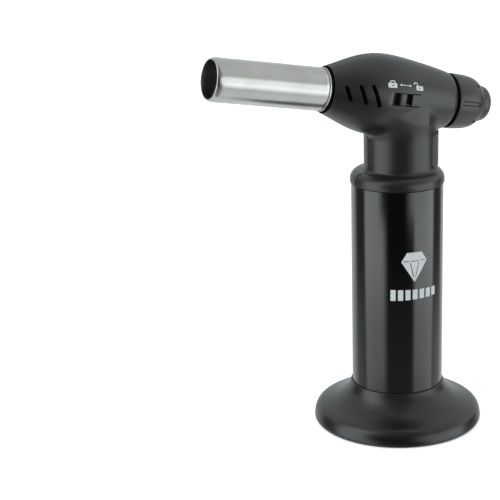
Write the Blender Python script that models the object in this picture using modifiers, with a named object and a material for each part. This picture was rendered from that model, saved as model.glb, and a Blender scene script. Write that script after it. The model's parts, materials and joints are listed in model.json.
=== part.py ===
# Refillable butane torch: turned foot, sleeved fuel tank, clamshell head on a
# round neck, stainless burner tube and a rear flame ring round a push button.
# Design values are millimetres; the scene is in metres, Z up, nozzle along -X,
# so +X is the back, -Y the left and +Y the right.
import bpy
import bmesh
from math import pi, sin, cos, tan, acos, dist, hypot, radians

for old in list(bpy.data.objects):
    bpy.data.objects.remove(old, do_unlink=True)

MM = 0.001

# ---------------------------------------------------------------- dimensions
# In names and comments on the head, "forward" is the distance along its axis
# toward the nozzle and "up" the distance square to that axis.
TILT = 10.8                # head axis rises this many degrees toward the nozzle
HEAD_Z = 217.1             # where the head axis crosses the tank axis
AXIS_X = 32.215            # the tank axis, behind the scene origin
NECK_X = 2.4               # neck axis, behind the tank axis
NECK_R = 23.4
WALL = 2.2                 # moulded neck wall
SLEEVE_R = 29.3
SLEEVE_WALL = 1.0
SLEEVE_BOTTOM, SLEEVE_TOP = 24.8, 161.9
COLLAR_R = 30.2
TUBE_R = 13.4              # burner tube
TUBE_WALL = 0.9
TUBE_BACK, TUBE_FRONT = 55.8, 130.4
BUTTON_R = 11.4
PIVOT_X, PIVOT_Z = -12.0, 183.0    # valve lever pivot, from the foot of the tank axis

GEAR_TEETH, PINION_TEETH, MODULE = 32, 12, 1.0
GEAR_FORWARD = -20.0       # middle of the gear and the pinion
GEAR_THICK = 4.0
TOOTH_PLAY = 0.22          # taken off each tooth at the pitch circle
NEEDLE_UP = -(GEAR_TEETH + PINION_TEETH) * MODULE / 2

BARB_R, BARB_BORE_R = 1.4, 0.7
HOSE_R, HOSE_WALL = 2.4, 0.6
OUTLET_Z = 167.0           # barb on the outlet valve
INLET_FORWARD = -6.13      # gas inlet on the regulator
FEED_FORWARD = 17.0        # barb on the jet holder
LEAD_UP = 8.5              # spark lead above the head axis

BASE_SCREWS = 3
BASE_SCREW_CIRCLE = 16.0   # radius of the circle the base screws stand on
SCREW_SPOTS = [(BASE_SCREW_CIRCLE * cos(a), BASE_SCREW_CIRCLE * sin(a), 0)
               for a in (pi / 2 + 2 * pi * i / BASE_SCREWS for i in range(BASE_SCREWS))]

# screw bosses of the shells
HEAD_BOSSES = [(16.8, 30.0), (15.5, -10.0), (-14.5, 36.0)]     # up, forward
NECK_BOSSES = [(-12.0, 173.5), (9.0, 176.0)]                   # x, z from the tank axis
BOSS_R = 4.6

# end centres of the side vents, each (up, forward)
VENTS = [((4.3, 46.0), (-2.3, 43.1)), ((5.8, 37.8), (-3.1, 34.0)), ((7.1, 30.5), (-3.8, 25.7))]
VENT_WIDTH = 2.0

SWITCH_BACK, SWITCH_FRONT = 3.5, 19.0      # lock switch window along the head
SWITCH_LOW, SWITCH_HIGH = -2.9, 5.2
TONGUE_BACK, TONGUE_FRONT = -2.0, 4.2      # flexing tongue, freed by two slits
SLIT = 0.6

# Turned profiles, here and below, are (height along the axis, radius).
HEAD_OUTSIDE = [
    (53.6, 14.5), (48.9, 16.2), (43.0, 18.6), (35.2, 21.6), (27.4, 23.9),
    (19.6, 25.4), (11.7, 25.5), (3.9, 24.8), (-3.9, 23.8), (-11.7, 22.5),
    (-19.6, 21.1), (-27.4, 19.45), (-34.6, 17.9)]
HEAD_INSIDE = [
    (60.0, 13.9), (49.0, 13.9), (43.0, 16.4), (35.2, 19.4), (27.4, 21.7), (19.6, 23.1),
    (11.7, 23.2), (-3.9, 21.5), (-19.6, 19.0), (-31.0, 17.1), (-31.0, 14.5), (-40.0, 14.5)]
BASE_OUTSIDE = [
    (27.2, 30.4), (24.5, 31.6), (22.0, 33.0), (19.6, 35.2), (16.6, 38.6), (13.7, 43.8),
    (10.8, 50.6), (7.8, 53.1), (4.9, 54.2), (2.0, 54.3), (0.0, 53.5)]
BASE_INSIDE = [
    (0, 49.5), (5.0, 50.3), (8.0, 48.0), (13.7, 36.0), (18.0, 30.5),
    (21.0, 29.0), (21.0, 8.5), (24.5, 8.5), (24.5, 29.6), (27.2, 29.6)]

# rotations that lay a piece's own Z along another axis of its frame
ZERO = (0, 0, 0)
TO_LEFT = (pi / 2, 0, 0)       # Z to -Y, and the piece's Y to Z
TO_RIGHT = (-pi / 2, 0, 0)     # Z to +Y
TO_X = (0, pi / 2, 0)          # Z to +X

# ---------------------------------------------------------------- collections
scene = bpy.context.scene
parts = bpy.data.collections.new("butane_torch")
cutters = bpy.data.collections.new("cutters")
scene.collection.children.link(parts)
scene.collection.children.link(cutters)


# ---------------------------------------------------------------- materials
def material(name, colour, roughness, metallic=0.0):
    made = bpy.data.materials.new(name)
    made.use_nodes = True
    inputs = made.node_tree.nodes["Principled BSDF"].inputs
    inputs["Base Color"].default_value = (*colour, 1.0)
    inputs["Roughness"].default_value = roughness
    inputs["Metallic"].default_value = metallic
    return made


PLASTIC = material("satin_black_plastic", colour=(0.035, 0.037, 0.04), roughness=0.45)
GLOSS = material("gloss_black_paint", colour=(0.01, 0.01, 0.011), roughness=0.16, metallic=0.2)
INNER = material("grey_nylon", colour=(0.20, 0.20, 0.21), roughness=0.55)
CLEAR = material("natural_nylon", colour=(0.72, 0.70, 0.64), roughness=0.40)
STEEL = material("stainless_steel", colour=(0.62, 0.62, 0.60), roughness=0.28, metallic=1.0)
SPRING = material("spring_wire", colour=(0.50, 0.50, 0.52), roughness=0.32, metallic=1.0)
BRASS = material("brass", colour=(0.72, 0.53, 0.25), roughness=0.30, metallic=1.0)
RUBBER = material("black_rubber", colour=(0.02, 0.02, 0.02), roughness=0.75)
HOSE = material("fuel_hose", colour=(0.10, 0.09, 0.08), roughness=0.55)
WHITE = material("white_ceramic", colour=(0.85, 0.83, 0.78), roughness=0.35)
CABLE = material("red_cable", colour=(0.45, 0.03, 0.02), roughness=0.45)


# ---------------------------------------------------------------- axis empties
def axis(name, loc, rot=ZERO, parent=None):
    """An empty that carries pieces; one with no parent is placed from the tank axis' foot."""
    empty = bpy.data.objects.new(name, None)
    empty.empty_display_size = 0.01
    offset = 0.0 if parent else AXIS_X
    empty.location = [(loc[0] + offset) * MM, loc[1] * MM, loc[2] * MM]
    empty.rotation_euler = rot
    empty.parent = parent
    parts.objects.link(empty)
    return empty


# local axes of the head: X up, Y as the world's, Z forward to the nozzle
HEAD = axis("head_axis", (0, 0, HEAD_Z), (0, -radians(90 - TILT), 0))
NEEDLE = axis("needle_axis", (NEEDLE_UP, 0, 0), parent=HEAD)
LEVER = axis("lever_axis", (PIVOT_X, 0, PIVOT_Z))
TANK = axis("tank_axis", ZERO)
NECK = axis("neck_axis", (NECK_X, 0, 0))

BOSS_SPOTS = [(HEAD, (up, 0, forward)) for up, forward in HEAD_BOSSES]
BOSS_SPOTS += [(TANK, (x, 0, z)) for x, z in NECK_BOSSES]


def head_to_tank(up, forward):
    """(x, z) on the tank axis' frame of a point in the head's middle plane."""
    tilt = radians(TILT)
    return (-forward * cos(tilt) + up * sin(tilt),
            HEAD_Z + forward * sin(tilt) + up * cos(tilt))


def tank_to_head(x, z):
    """(up, forward) on the head of a point in the tank's middle plane."""
    tilt = radians(TILT)
    return (x * sin(tilt) + (z - HEAD_Z) * cos(tilt),
            -x * cos(tilt) + (z - HEAD_Z) * sin(tilt))


# ---------------------------------------------------------------- solids
# A piece given no material is a helper: hidden, and used only in booleans.
def add(name, mesh, parent, mat, loc, rot):
    ob = bpy.data.objects.new(name, mesh)
    ob.parent = parent
    ob.location = [v * MM for v in loc]
    ob.rotation_euler = rot
    if mat:
        mesh.materials.append(mat)
        parts.objects.link(ob)
    else:
        ob.hide_render = True
        ob.display_type = 'WIRE'
        cutters.objects.link(ob)
    return ob


def revolve(name, profile, edges, parent, mat, steps, loc, rot):
    mesh = bpy.data.meshes.new(name)
    mesh.from_pydata([(r * MM, 0, h * MM) for h, r in profile], edges, [])
    ob = add(name, mesh, parent, mat, loc, rot)
    turn = ob.modifiers.new("turn", 'SCREW')
    turn.axis = 'Z'
    turn.angle = 2 * pi
    turn.steps = turn.render_steps = steps
    turn.use_merge_vertices = True
    turn.merge_threshold = 0.00001
    return ob


def ring(name, parent, mat, steps, profile, loc=ZERO, rot=ZERO):
    """Turn a closed section that stays clear of the axis."""
    n = len(profile)
    edges = [(i, (i + 1) % n) for i in range(n)]
    return revolve(name, profile, edges, parent, mat, steps, loc, rot)


def solid(name, parent, mat, steps, profile, loc=ZERO, rot=ZERO):
    """Turn an open run, closed onto the axis at both ends."""
    run = [(profile[0][0], 0.0)] + profile + [(profile[-1][0], 0.0)]
    edges = [(i, i + 1) for i in range(len(run) - 1)]
    return revolve(name, run, edges, parent, mat, steps, loc, rot)


def bmesh_to_mesh(bm, name):
    mesh = bpy.data.meshes.new(name)
    bm.to_mesh(mesh)
    bm.free()
    return mesh


def rod(name, radius, span, parent, mat=None, seg=16, loc=ZERO, rot=ZERO):
    """A cylinder over span, (start, end) along its own Z."""
    start, end = span
    bm = bmesh.new()
    bmesh.ops.create_cone(bm, cap_ends=True, segments=seg, radius1=radius * MM,
                          radius2=radius * MM, depth=(end - start) * MM)
    bmesh.ops.translate(bm, vec=(0, 0, (start + end) / 2 * MM), verts=bm.verts)
    return add(name, bmesh_to_mesh(bm, name), parent, mat, loc, rot)


def block(name, low, high, parent, mat=None, rot=ZERO):
    """A box between two opposite corners."""
    bm = bmesh.new()
    bmesh.ops.create_cube(bm, size=1.0)
    bmesh.ops.scale(bm, vec=[(h - l) * MM for l, h in zip(low, high)], verts=bm.verts)
    bmesh.ops.translate(bm, vec=[(h + l) / 2 * MM for l, h in zip(low, high)], verts=bm.verts)
    return add(name, bmesh_to_mesh(bm, name), parent, mat, ZERO, rot)


def curve_mesh(name, lines, cyclic, **settings):
    """Evaluate a curve with the given settings to a welded mesh."""
    curve = bpy.data.curves.new(name + "_line", 'CURVE')
    for key, value in settings.items():
        setattr(curve, key, value)
    for line in lines:
        spline = curve.splines.new('POLY')
        spline.points.add(len(line) - 1)
        for point, place in zip(spline.points, line):
            x, y, z = (*place, 0.0)[:3]
            point.co = (x * MM, y * MM, z * MM, 1.0)
        spline.use_cyclic_u = cyclic
    carrier = bpy.data.objects.new(name + "_line", curve)
    scene.collection.objects.link(carrier)
    depsgraph = bpy.context.evaluated_depsgraph_get()
    depsgraph.update()
    mesh = bpy.data.meshes.new_from_object(carrier.evaluated_get(depsgraph))
    bpy.data.objects.remove(carrier, do_unlink=True)
    bm = bmesh.new()
    bm.from_mesh(mesh)
    bmesh.ops.remove_doubles(bm, verts=bm.verts, dist=0.000001)
    bmesh.ops.recalc_face_normals(bm, faces=bm.faces)
    bm.to_mesh(mesh)
    bm.free()
    mesh.name = name
    mesh.materials.clear()
    return mesh


def plate(name, outlines, thick, parent, mat=None, loc=ZERO, rot=ZERO):
    """A flat plate centred on its own XY plane; inner outlines are holes."""
    mesh = curve_mesh(name, outlines, True, dimensions='2D', fill_mode='BOTH',
                      extrude=thick / 2 * MM, use_fill_caps=True)
    return add(name, mesh, parent, mat, loc, rot)


def wire(name, points, radius, parent, mat, resolution=1, caps=True):
    mesh = curve_mesh(name, [points], False, dimensions='3D', fill_mode='FULL',
                      bevel_depth=radius * MM, bevel_resolution=resolution, use_fill_caps=caps)
    return add(name, mesh, parent, mat, ZERO, ZERO)


def hose(name, points, parent):
    ob = wire(name, rounded(points), HOSE_R, parent, HOSE, caps=False)
    bore = ob.modifiers.new("bore", 'SOLIDIFY')
    bore.thickness = HOSE_WALL * MM
    bore.offset = -1.0


def spring(name, radius, span, turns, wire_r, parent):
    """A helix over span, with a flat half turn at each end."""
    start, end = span
    count = int(turns * 7)
    points = []
    for i in range(count + 1):
        t = i / count
        rise = min(1.0, max(0.0, (t - 0.5 / turns) / (1 - 1.0 / turns)))
        angle = 2 * pi * turns * t
        points.append((radius * cos(angle), radius * sin(angle), start + (end - start) * rise))
    wire(name, points, wire_r, parent, SPRING, resolution=0)


def boolean(ob, tool, operation):
    modifier = ob.modifiers.new(operation.lower(), 'BOOLEAN')
    modifier.operation = operation
    modifier.object = tool
    modifier.solver = 'EXACT'


def cut(ob, tool):
    boolean(ob, tool, 'DIFFERENCE')


def join(ob, tool):
    boolean(ob, tool, 'UNION')


def keep_inside(ob, tool):
    boolean(ob, tool, 'INTERSECT')


def side_barb(body, name, span, seg, parent, height):
    """A bored hose barb on a turned body, pointing right."""
    place = dict(loc=(0, 0, height), rot=TO_RIGHT)
    join(body, rod(name, BARB_R, span, parent, seg=seg, **place))
    cut(body, rod(name + "_bore", BARB_BORE_R, (1.0, 12.0), parent, seg=8, **place))


# ---------------------------------------------------------------- outlines
def rounded(points, share=0.5, steps=3):
    """Replace a polyline's corners with quadratic arcs over a share of each side."""
    path = [points[0]]
    for before, corner, after in zip(points, points[1:], points[2:]):
        first = [c + (b - c) * share for b, c in zip(before, corner)]
        last = [c + (a - c) * share for a, c in zip(after, corner)]
        for i in range(steps + 1):
            t = i / steps
            path.append([(1 - t) ** 2 * f + 2 * t * (1 - t) * c + t * t * l
                         for f, c, l in zip(first, corner, last)])
    path.append(points[-1])
    spaced = [path[0]]
    for point in path[1:]:
        if dist(point, spaced[-1]) > 0.05:
            spaced.append(point)
    return spaced


def circle(radius, n):
    return [(radius * cos(2 * pi * i / n), radius * sin(2 * pi * i / n)) for i in range(n)]


def slot(start, end, width, n=5):
    """Outline of a round-ended slot between two end centres."""
    dx, dy = end[0] - start[0], end[1] - start[1]
    length = hypot(dx, dy)
    dx, dy = dx / length, dy / length
    outline = []
    for (x, y), side in ((end, 1), (start, -1)):
        for i in range(n + 1):
            t = -pi / 2 + pi * i / n
            outline.append((x + width / 2 * side * (dx * cos(t) - dy * sin(t)),
                            y + width / 2 * side * (dy * cos(t) + dx * sin(t))))
    return outline


def gear_outline(teeth, addendum, dedendum, start=0.0):
    """Involute teeth with three points on each flank, the first centred on start."""
    pressure = radians(20)
    pitch_r = teeth * MODULE / 2
    base_r = pitch_r * cos(pressure)
    half_at_pitch = pi / (2 * teeth) - TOOTH_PLAY / (2 * pitch_r)

    def involute(angle):
        return tan(angle) - angle

    def half_angle(radius):
        angle = acos(base_r / radius) if radius > base_r else 0.0
        return half_at_pitch + involute(pressure) - involute(angle)

    radii = [pitch_r - dedendum, pitch_r, pitch_r + addendum]
    flank = [(r, -half_angle(r)) for r in radii]
    flank += [(r, half_angle(r)) for r in reversed(radii)]
    outline = []
    for k in range(teeth):
        centre = start + 2 * pi * k / teeth
        outline += [(r * cos(centre + a), r * sin(centre + a)) for r, a in flank]
    return outline


# =============================================================== foot and tank
def foot():
    base = ring("base_stand", TANK, PLASTIC, 40, BASE_OUTSIDE + BASE_INSIDE)
    for i, spot in enumerate(SCREW_SPOTS, 1):
        cut(base, rod(f"base_screw_hole_{i}", 1.9, (18, 26), TANK, seg=10, loc=spot))
        solid(f"base_screw_{i}", TANK, STEEL, 9, loc=spot, profile=[
            (34.5, 1.5), (20.7, 1.5), (20.7, 3.0), (18.7, 2.4)])


def sleeve_and_tank():
    bore_r = SLEEVE_R - SLEEVE_WALL
    ring("body_tube", TANK, GLOSS, 40, profile=[
        (SLEEVE_TOP, SLEEVE_R), (SLEEVE_BOTTOM, SLEEVE_R),
        (SLEEVE_BOTTOM, bore_r), (SLEEVE_TOP, bore_r)])
    ring("fuel_tank", TANK, CLEAR, 28, profile=[
        (161.5, 9.5), (158.5, 9.5), (157.4, 20.0), (154.2, 26.0), (148.5, 27.9), (28.8, 27.9),
        (28.8, 25.7), (147.6, 25.7), (152.4, 24.0), (155.2, 18.0), (156.2, 5.4), (161.5, 5.4)])


def tank_end_cap():
    cap = ring("tank_end_cap", TANK, CLEAR, 24, profile=[
        (39.5, 7.2), (28.5, 7.2), (28.5, 23.4), (36.0, 23.4), (36.0, 25.4), (28.6, 25.4),
        (28.5, 27.9), (24.8, 27.9), (24.8, 4.4), (39.5, 4.4)])
    for i, spot in enumerate(SCREW_SPOTS, 1):
        join(cap, rod(f"cap_boss_{i}", 3.4, (26.5, 39.0), TANK, seg=10, loc=spot))
        cut(cap, rod(f"cap_pilot_{i}", 1.75, (20, 36.5), TANK, seg=10, loc=spot))


def fill_valve():
    """Refill valve in the centre of the foot."""
    ring("fill_valve_body", TANK, BRASS, 16, profile=[
        (44.0, 4.1), (24.5, 4.1), (24.5, 6.4), (22.0, 6.4), (22.0, 1.6),
        (26.0, 1.6), (26.0, 3.0), (42.5, 3.0), (42.5, 1.2), (44.0, 1.2)])
    solid("fill_valve_stem", TANK, BRASS, 12, profile=[
        (36.0, 0.8), (30.0, 0.8), (30.0, 2.5), (28.2, 2.5), (28.2, 1.1), (20.4, 1.1)])
    ring("fill_valve_seal", TANK, RUBBER, 12, profile=[
        (27.9, 2.6), (26.3, 2.6), (26.3, 1.4), (27.9, 1.4)])
    spring("fill_valve_spring", 2.0, (30.6, 42.1), turns=5.5, wire_r=0.28, parent=TANK)


def outlet_valve():
    """Outlet valve in the tank's neck, with the pickup tube below it."""
    body = ring("outlet_valve_body", TANK, BRASS, 16, profile=[
        (170.0, 4.2), (164.6, 4.2), (164.6, 7.2), (161.8, 7.2), (161.8, 5.1), (148.4, 5.1),
        (148.4, 2.3), (143.6, 2.3), (143.6, 1.2), (149.0, 1.2), (149.0, 3.7), (162.0, 3.7),
        (162.0, 1.95), (170.0, 1.95)])
    side_barb(body, "valve_barb", (3.2, 10.0), 10, TANK, OUTLET_Z)
    solid("outlet_valve_stem", TANK, BRASS, 14, profile=[
        (185.2, 1.2), (184.6, 1.6), (184.0, 1.6), (184.0, 3.5), (182.5, 3.5),
        (182.5, 1.6), (153.2, 1.6), (153.2, 3.2), (151.2, 3.2)])
    solid("outlet_valve_seal", TANK, RUBBER, 14, profile=[(150.9, 3.0), (149.4, 3.0)])
    spring("outlet_valve_spring", 2.7, (153.7, 161.5), turns=4.5, wire_r=0.35, parent=TANK)
    ring("stem_o_ring", TANK, RUBBER, 12, profile=[
        (173.6, 3.4), (172.9, 3.9), (171.3, 3.9), (170.4, 3.4), (170.4, 1.95), (173.6, 1.95)])
    ring("pickup_tube", TANK, CLEAR, 14, profile=[
        (147.8, 3.2), (52.0, 3.2), (52.0, 2.5), (147.8, 2.5)])


# =============================================================== head shells
# The turned solids joined here are each spun a little about their own axis,
# by different angles, so that their facets do not line up.
def shell_cavity():
    """Inside of the head, neck and collar, with the screw bosses left standing."""
    cavity = solid("cavity_head", HEAD, None, 24, HEAD_INSIDE, rot=(0, 0, 0.05))
    join(cavity, rod("cavity_neck", NECK_R - WALL, (166.0, 206.0), NECK, seg=24,
                     rot=(0, 0, 0.07)))
    join(cavity, solid("cavity_collar", TANK, None, 24, rot=(0, 0, 0.03), profile=[
        (168.5, 22.0), (166.0, 26.2), (150.0, 26.2)]))
    for i, (parent, spot) in enumerate(BOSS_SPOTS, 1):
        cut(cavity, rod(f"boss_{i}", BOSS_R, (-24, 24), parent, seg=8, loc=spot, rot=TO_LEFT))
    return cavity


def rear_window():
    """A sector of the neck wall at the back."""
    window = ring("rear_window", NECK, None, 36, profile=[
        (191.0, 26.0), (173.0, 26.0), (173.0, 20.7), (191.0, 20.7)])
    keep_inside(window, block("rear_window_limit", (11.0, -30, 160), (40, 30, 200), NECK))
    return window


def switch_cutters():
    """Lock switch window in the left shell, and the slits of its tongue."""
    boxes = [("switch_window", SWITCH_LOW, SWITCH_HIGH, SWITCH_BACK, SWITCH_FRONT),
             ("switch_slit_top", SWITCH_HIGH - SLIT, SWITCH_HIGH, TONGUE_BACK, TONGUE_FRONT),
             ("switch_slit_low", SWITCH_LOW, SWITCH_LOW + SLIT, TONGUE_BACK, TONGUE_FRONT)]
    return [block(name, (low, -32, back), (high, -16, front), HEAD)
            for name, low, high, back, front in boxes]


def head_shells():
    neck = rod("neck_solid", NECK_R, (168.0, 207.0), NECK, seg=32, rot=(0, 0, 0.06))
    collar = solid("collar_solid", TANK, None, 32, rot=(0, 0, 0.02), profile=[
        (172.5, 23.0), (171.3, 24.2), (170.1, 27.1), (168.8, 28.7), (167.5, 29.7),
        (166.2, COLLAR_R), (162.2, COLLAR_R), (162.2, 28.0), (154.5, 28.0)])
    cavity = shell_cavity()
    openings = [rear_window()]
    for i, (high, low) in enumerate(VENTS, 1):
        openings.append(plate(f"vent_cut_{i}", [slot(high, low, VENT_WIDTH)], 70.0, HEAD,
                              rot=TO_LEFT))

    # the halves stop this far short of the middle plane
    seam = 0.15
    for name, near, far in (("head_shell_left", -60.0, -seam), ("head_shell_right", seam, 60.0)):
        shell = solid(name, HEAD, PLASTIC, 32, HEAD_OUTSIDE, rot=(0, 0, 0.04))
        join(shell, neck)
        join(shell, collar)
        cut(shell, cavity)
        keep_inside(shell, block(name + "_half", (-80, near, 140), (80, far, 260), TANK))
        for opening in openings:
            cut(shell, opening)
        for i, (parent, spot) in enumerate(BOSS_SPOTS, 1):
            if name == "head_shell_right":
                hole = solid(f"screw_way_{i}", parent, None, 8, loc=spot, rot=TO_LEFT, profile=[
                    (1.0, 1.5), (-9.0, 1.5), (-9.0, 3.1), (-40.0, 3.1)])
            else:
                hole = rod(f"screw_pilot_{i}", 1.35, (-1.0, 8.6), parent, seg=8, loc=spot,
                           rot=TO_LEFT)
            cut(shell, hole)
        if name == "head_shell_left":
            for cutter in switch_cutters():
                cut(shell, cutter)


def shell_screws():
    """Screws with their heads on the right."""
    for i, (parent, spot) in enumerate(BOSS_SPOTS, 1):
        solid(f"shell_screw_{i}", parent, STEEL, 9, loc=spot, rot=TO_LEFT, profile=[
            (7.8, 1.1), (-9.25, 1.1), (-9.25, 2.7), (-11.2, 2.1)])


def neck_back_insert():
    """Curved panel that fills the rear window."""
    insert = ring("neck_back_insert", NECK, PLASTIC, 36, profile=[
        (190.7, 22.9), (173.3, 22.9), (173.3, 21.0), (190.7, 21.0)])
    keep_inside(insert, block("insert_limit", (11.3, -30, 160), (40, 30, 200), NECK))


# =============================================================== burner
def burner_tube():
    bore_r = TUBE_R - TUBE_WALL
    # rounded lip at the front: distance back from the front edge, radius
    lip_outside = [(0.3, 12.45), (1.0, 12.9), (2.2, 13.2), (3.8, TUBE_R)]
    lip_inside = [(2.4, bore_r), (0.9, 12.2), (0.3, 11.7)]
    ring("burner_tube", HEAD, STEEL, 36, profile=(
        [(TUBE_FRONT, 11.9)] + [(TUBE_FRONT - back, r) for back, r in lip_outside]
        + [(TUBE_BACK, TUBE_R), (TUBE_BACK, bore_r)]
        + [(TUBE_FRONT - back, r) for back, r in lip_inside]))


def burner_mount():
    """Insulator and stepped collar that hold the tube in the head."""
    ring("heat_insulator", HEAD, RUBBER, 24, profile=[
        (54.2, 13.6), (46.0, 13.6), (45.0, 14.9), (43.0, 14.9), (43.0, 12.35), (54.2, 12.35)])
    collar = ring("burner_collar", HEAD, STEEL, 24, profile=[
        (62.0, 12.0), (55.5, 12.0), (55.5, 13.75), (54.6, 13.75), (54.6, 12.0),
        (44.0, 12.0), (44.0, 5.8), (45.4, 5.8), (45.4, 11.0), (62.0, 11.0)])
    cut(collar, rod("collar_lead_hole", 2.2, (40, 48), HEAD, seg=10, loc=(LEAD_UP, 0, 0)))


def mixing_tube():
    tube = ring("mixing_tube", HEAD, STEEL, 16, profile=[
        (96.0, 5.5), (26.0, 5.5), (26.0, 4.8), (96.0, 4.8)])
    for i, turn in enumerate((TO_LEFT, TO_X), 1):
        cut(tube, rod(f"air_hole_{i}", 1.6, (-9, 9), HEAD, seg=10, loc=(0, 0, 35.0), rot=turn))


def flame_holder():
    holder = ring("flame_holder", HEAD, STEEL, 20, profile=[
        (101.0, 11.9), (97.5, 11.9), (97.5, 6.2), (91.0, 6.2), (91.0, 5.75),
        (96.4, 5.75), (96.4, 3.2), (101.0, 3.2)])
    cut(holder, rod("holder_lead_hole", 2.2, (94, 104), HEAD, seg=10, loc=(LEAD_UP, 0, 0)))
    # eight places round a circle; the lead hole takes the first
    port_circle = 9.2
    for i in range(1, 8):
        a = 2 * pi * i / 8 + 0.06
        spot = (port_circle * cos(a), port_circle * sin(a), 0)
        cut(holder, rod(f"holder_port_{i}", 1.3, (94, 104), HEAD, seg=6, loc=spot))


def gas_jet():
    """Jet and its holder, which is fed through a barb pointing down."""
    feed = dict(loc=(0, 0, FEED_FORWARD), rot=TO_X)
    holder = rod("jet_holder", 5.5, (14.6, 19.7), HEAD, BRASS)
    join(holder, rod("jet_holder_barb", BARB_R, (-9.5, -4.5), HEAD, seg=12, **feed))
    cut(holder, rod("jet_holder_thread", 2.1, (15.9, 22), HEAD))
    cut(holder, rod("jet_holder_feed", BARB_BORE_R, (-12, 0), HEAD, seg=8, **feed))
    ring("gas_jet", HEAD, BRASS, 12, profile=[
        (30.0, 1.5), (28.4, 2.6), (22.2, 2.6), (22.2, 3.6), (20.0, 3.6), (20.0, 1.85),
        (18.0, 1.85), (18.0, 0.8), (28.8, 0.8), (29.2, 0.4), (30.0, 0.4)])


def spark_lead():
    ring("ceramic_insulator", HEAD, WHITE, 12, loc=(LEAD_UP, 0, 0), profile=[
        (102.0, 1.5), (101.4, 1.9), (47.6, 1.9), (47.0, 1.5), (47.0, 0.95), (102.0, 0.95)])
    # paths are up, across, forward
    electrode = [(LEAD_UP, 0, 45.0), (LEAD_UP, 0, 105.5), (5.6, 0, 108.2)]
    wire("spark_electrode", rounded(electrode, share=0.3), 0.6, HEAD, STEEL)
    cable = [(5.1, 0, 11.8), (9.4, 0, 11.8), (9.4, 0, 20.0), (9.4, 0, 36.0),
             (LEAD_UP, 0, 40.0), (LEAD_UP, 0, 44.7)]
    wire("ignition_wire", rounded(cable), 0.95, HEAD, CABLE)


# =============================================================== igniter
def piezo():
    body = block("piezo_body", (-4.8, -5.8, -14.0), (4.8, 5.8, 13.3), HEAD, INNER)
    edge = body.modifiers.new("edge", 'BEVEL')
    edge.width = 0.6 * MM
    edge.segments = 1
    cut(body, rod("piezo_bore", 2.95, (-20, 4.2), HEAD))
    solid("piezo_plunger", HEAD, INNER, 16, profile=[
        (-2.5, 2.5), (-20.5, 2.5), (-20.5, 3.4), (-22.0, 3.4)])


def ignition_button():
    button = solid("ignition_button", HEAD, PLASTIC, 28, profile=[
        (-22.4, 2.2), (-23.0, 2.5), (-42.6, 2.5), (-42.6, 12.4), (-44.6, 12.4),
        (-44.6, BUTTON_R), (-60.2, BUTTON_R), (-62.0, 11.1), (-63.8, 10.1),
        (-65.2, 8.1), (-66.2, 4.6), (-66.5, 2.0)])
    join(button, block("button_prong", (-7.0, -9.3, -43.8), (-3.0, -7.1, -9.0), HEAD))
    spring("button_return_spring", 4.6, (-42.0, -14.6), turns=7.5, wire_r=0.38, parent=HEAD)


# =============================================================== flame control
def flame_knob():
    knob = ring("flame_knob", HEAD, PLASTIC, 36, profile=[
        (-16.0, 13.8), (-35.6, 13.8), (-35.6, 17.65), (-43.0, 17.4), (-48.4, 16.8),
        (-52.4, 15.8), (-55.2, 13.9), (-58.1, 12.3), (-58.1, 11.8), (-45.4, 11.8),
        (-45.4, 12.8), (-16.0, 12.8)])
    for i in range(8):
        cut(knob, block(f"knob_groove_{i + 1}", (16.7, -1.2, -52.5), (20.0, 1.2, -38.5), HEAD,
                        rot=(0, 0, 2 * pi * i / 8 + radians(4))))
    ring("knob_retaining_ring", HEAD, STEEL, 20, profile=[
        (-28.9, 16.3), (-30.5, 16.3), (-30.5, 14.1), (-28.9, 14.1)])


def gears():
    middle = (0, 0, GEAR_FORWARD)
    gear = gear_outline(GEAR_TEETH, addendum=0.75, dedendum=1.1)
    plate("knob_gear", [gear, circle(14.05, 24)], GEAR_THICK, HEAD, BRASS, loc=middle)
    # half a tooth round, so that a gap meets the gear's tooth
    pinion = gear_outline(PINION_TEETH, addendum=0.8, dedendum=1.15, start=pi / PINION_TEETH)
    plate("regulator_pinion", [pinion, circle(1.75, 10)], GEAR_THICK, NEEDLE, BRASS, loc=middle)


def regulator():
    solid("regulator_needle", NEEDLE, STEEL, 14, profile=[
        (-1.5, 0.3), (-5.0, 1.45), (-23.0, 1.45)])
    body = ring("regulator_body", NEEDLE, BRASS, 14, rot=(0, 0, 0.1), profile=[
        (4.0, 5.2), (-15.0, 5.2), (-15.0, 3.5), (-13.0, 3.5), (-13.0, 1.75),
        (-4.0, 1.75), (-1.0, 0.8), (4.0, 0.8)])
    join(body, ring("regulator_outlet", NEEDLE, None, 12, profile=[
        (9.0, 1.4), (3.0, 1.4), (3.0, 0.79), (9.0, 0.79)]))
    side_barb(body, "regulator_inlet", (4.0, 10.5), 12, NEEDLE, INLET_FORWARD)
    ring("needle_o_ring", NEEDLE, RUBBER, 14, profile=[
        (-13.2, 3.0), (-13.6, 3.3), (-14.4, 3.3), (-14.8, 3.0), (-14.8, 1.8), (-13.2, 1.8)])


def gas_hoses():
    """Outlet valve to regulator, then regulator to jet holder."""
    x, z = head_to_tank(NEEDLE_UP, INLET_FORWARD)
    side = 15.0            # how far to the right the lower hose runs
    hose("gas_hose_lower", [
        (0, 4.6, OUTLET_Z), (0, 10.0, OUTLET_Z), (0, side, OUTLET_Z), (0, side, 174.0),
        (x, side, z - 6.0), (x, side, z), (x, 10.0, z), (x, 5.9, z)], TANK)
    hose("gas_hose_upper", [
        (NEEDLE_UP, 0, 4.4), (NEEDLE_UP, 0, 10.5), (-15.5, 0, FEED_FORWARD),
        (-10.0, 0, FEED_FORWARD), (-5.9, 0, FEED_FORWARD)], HEAD)


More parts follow.
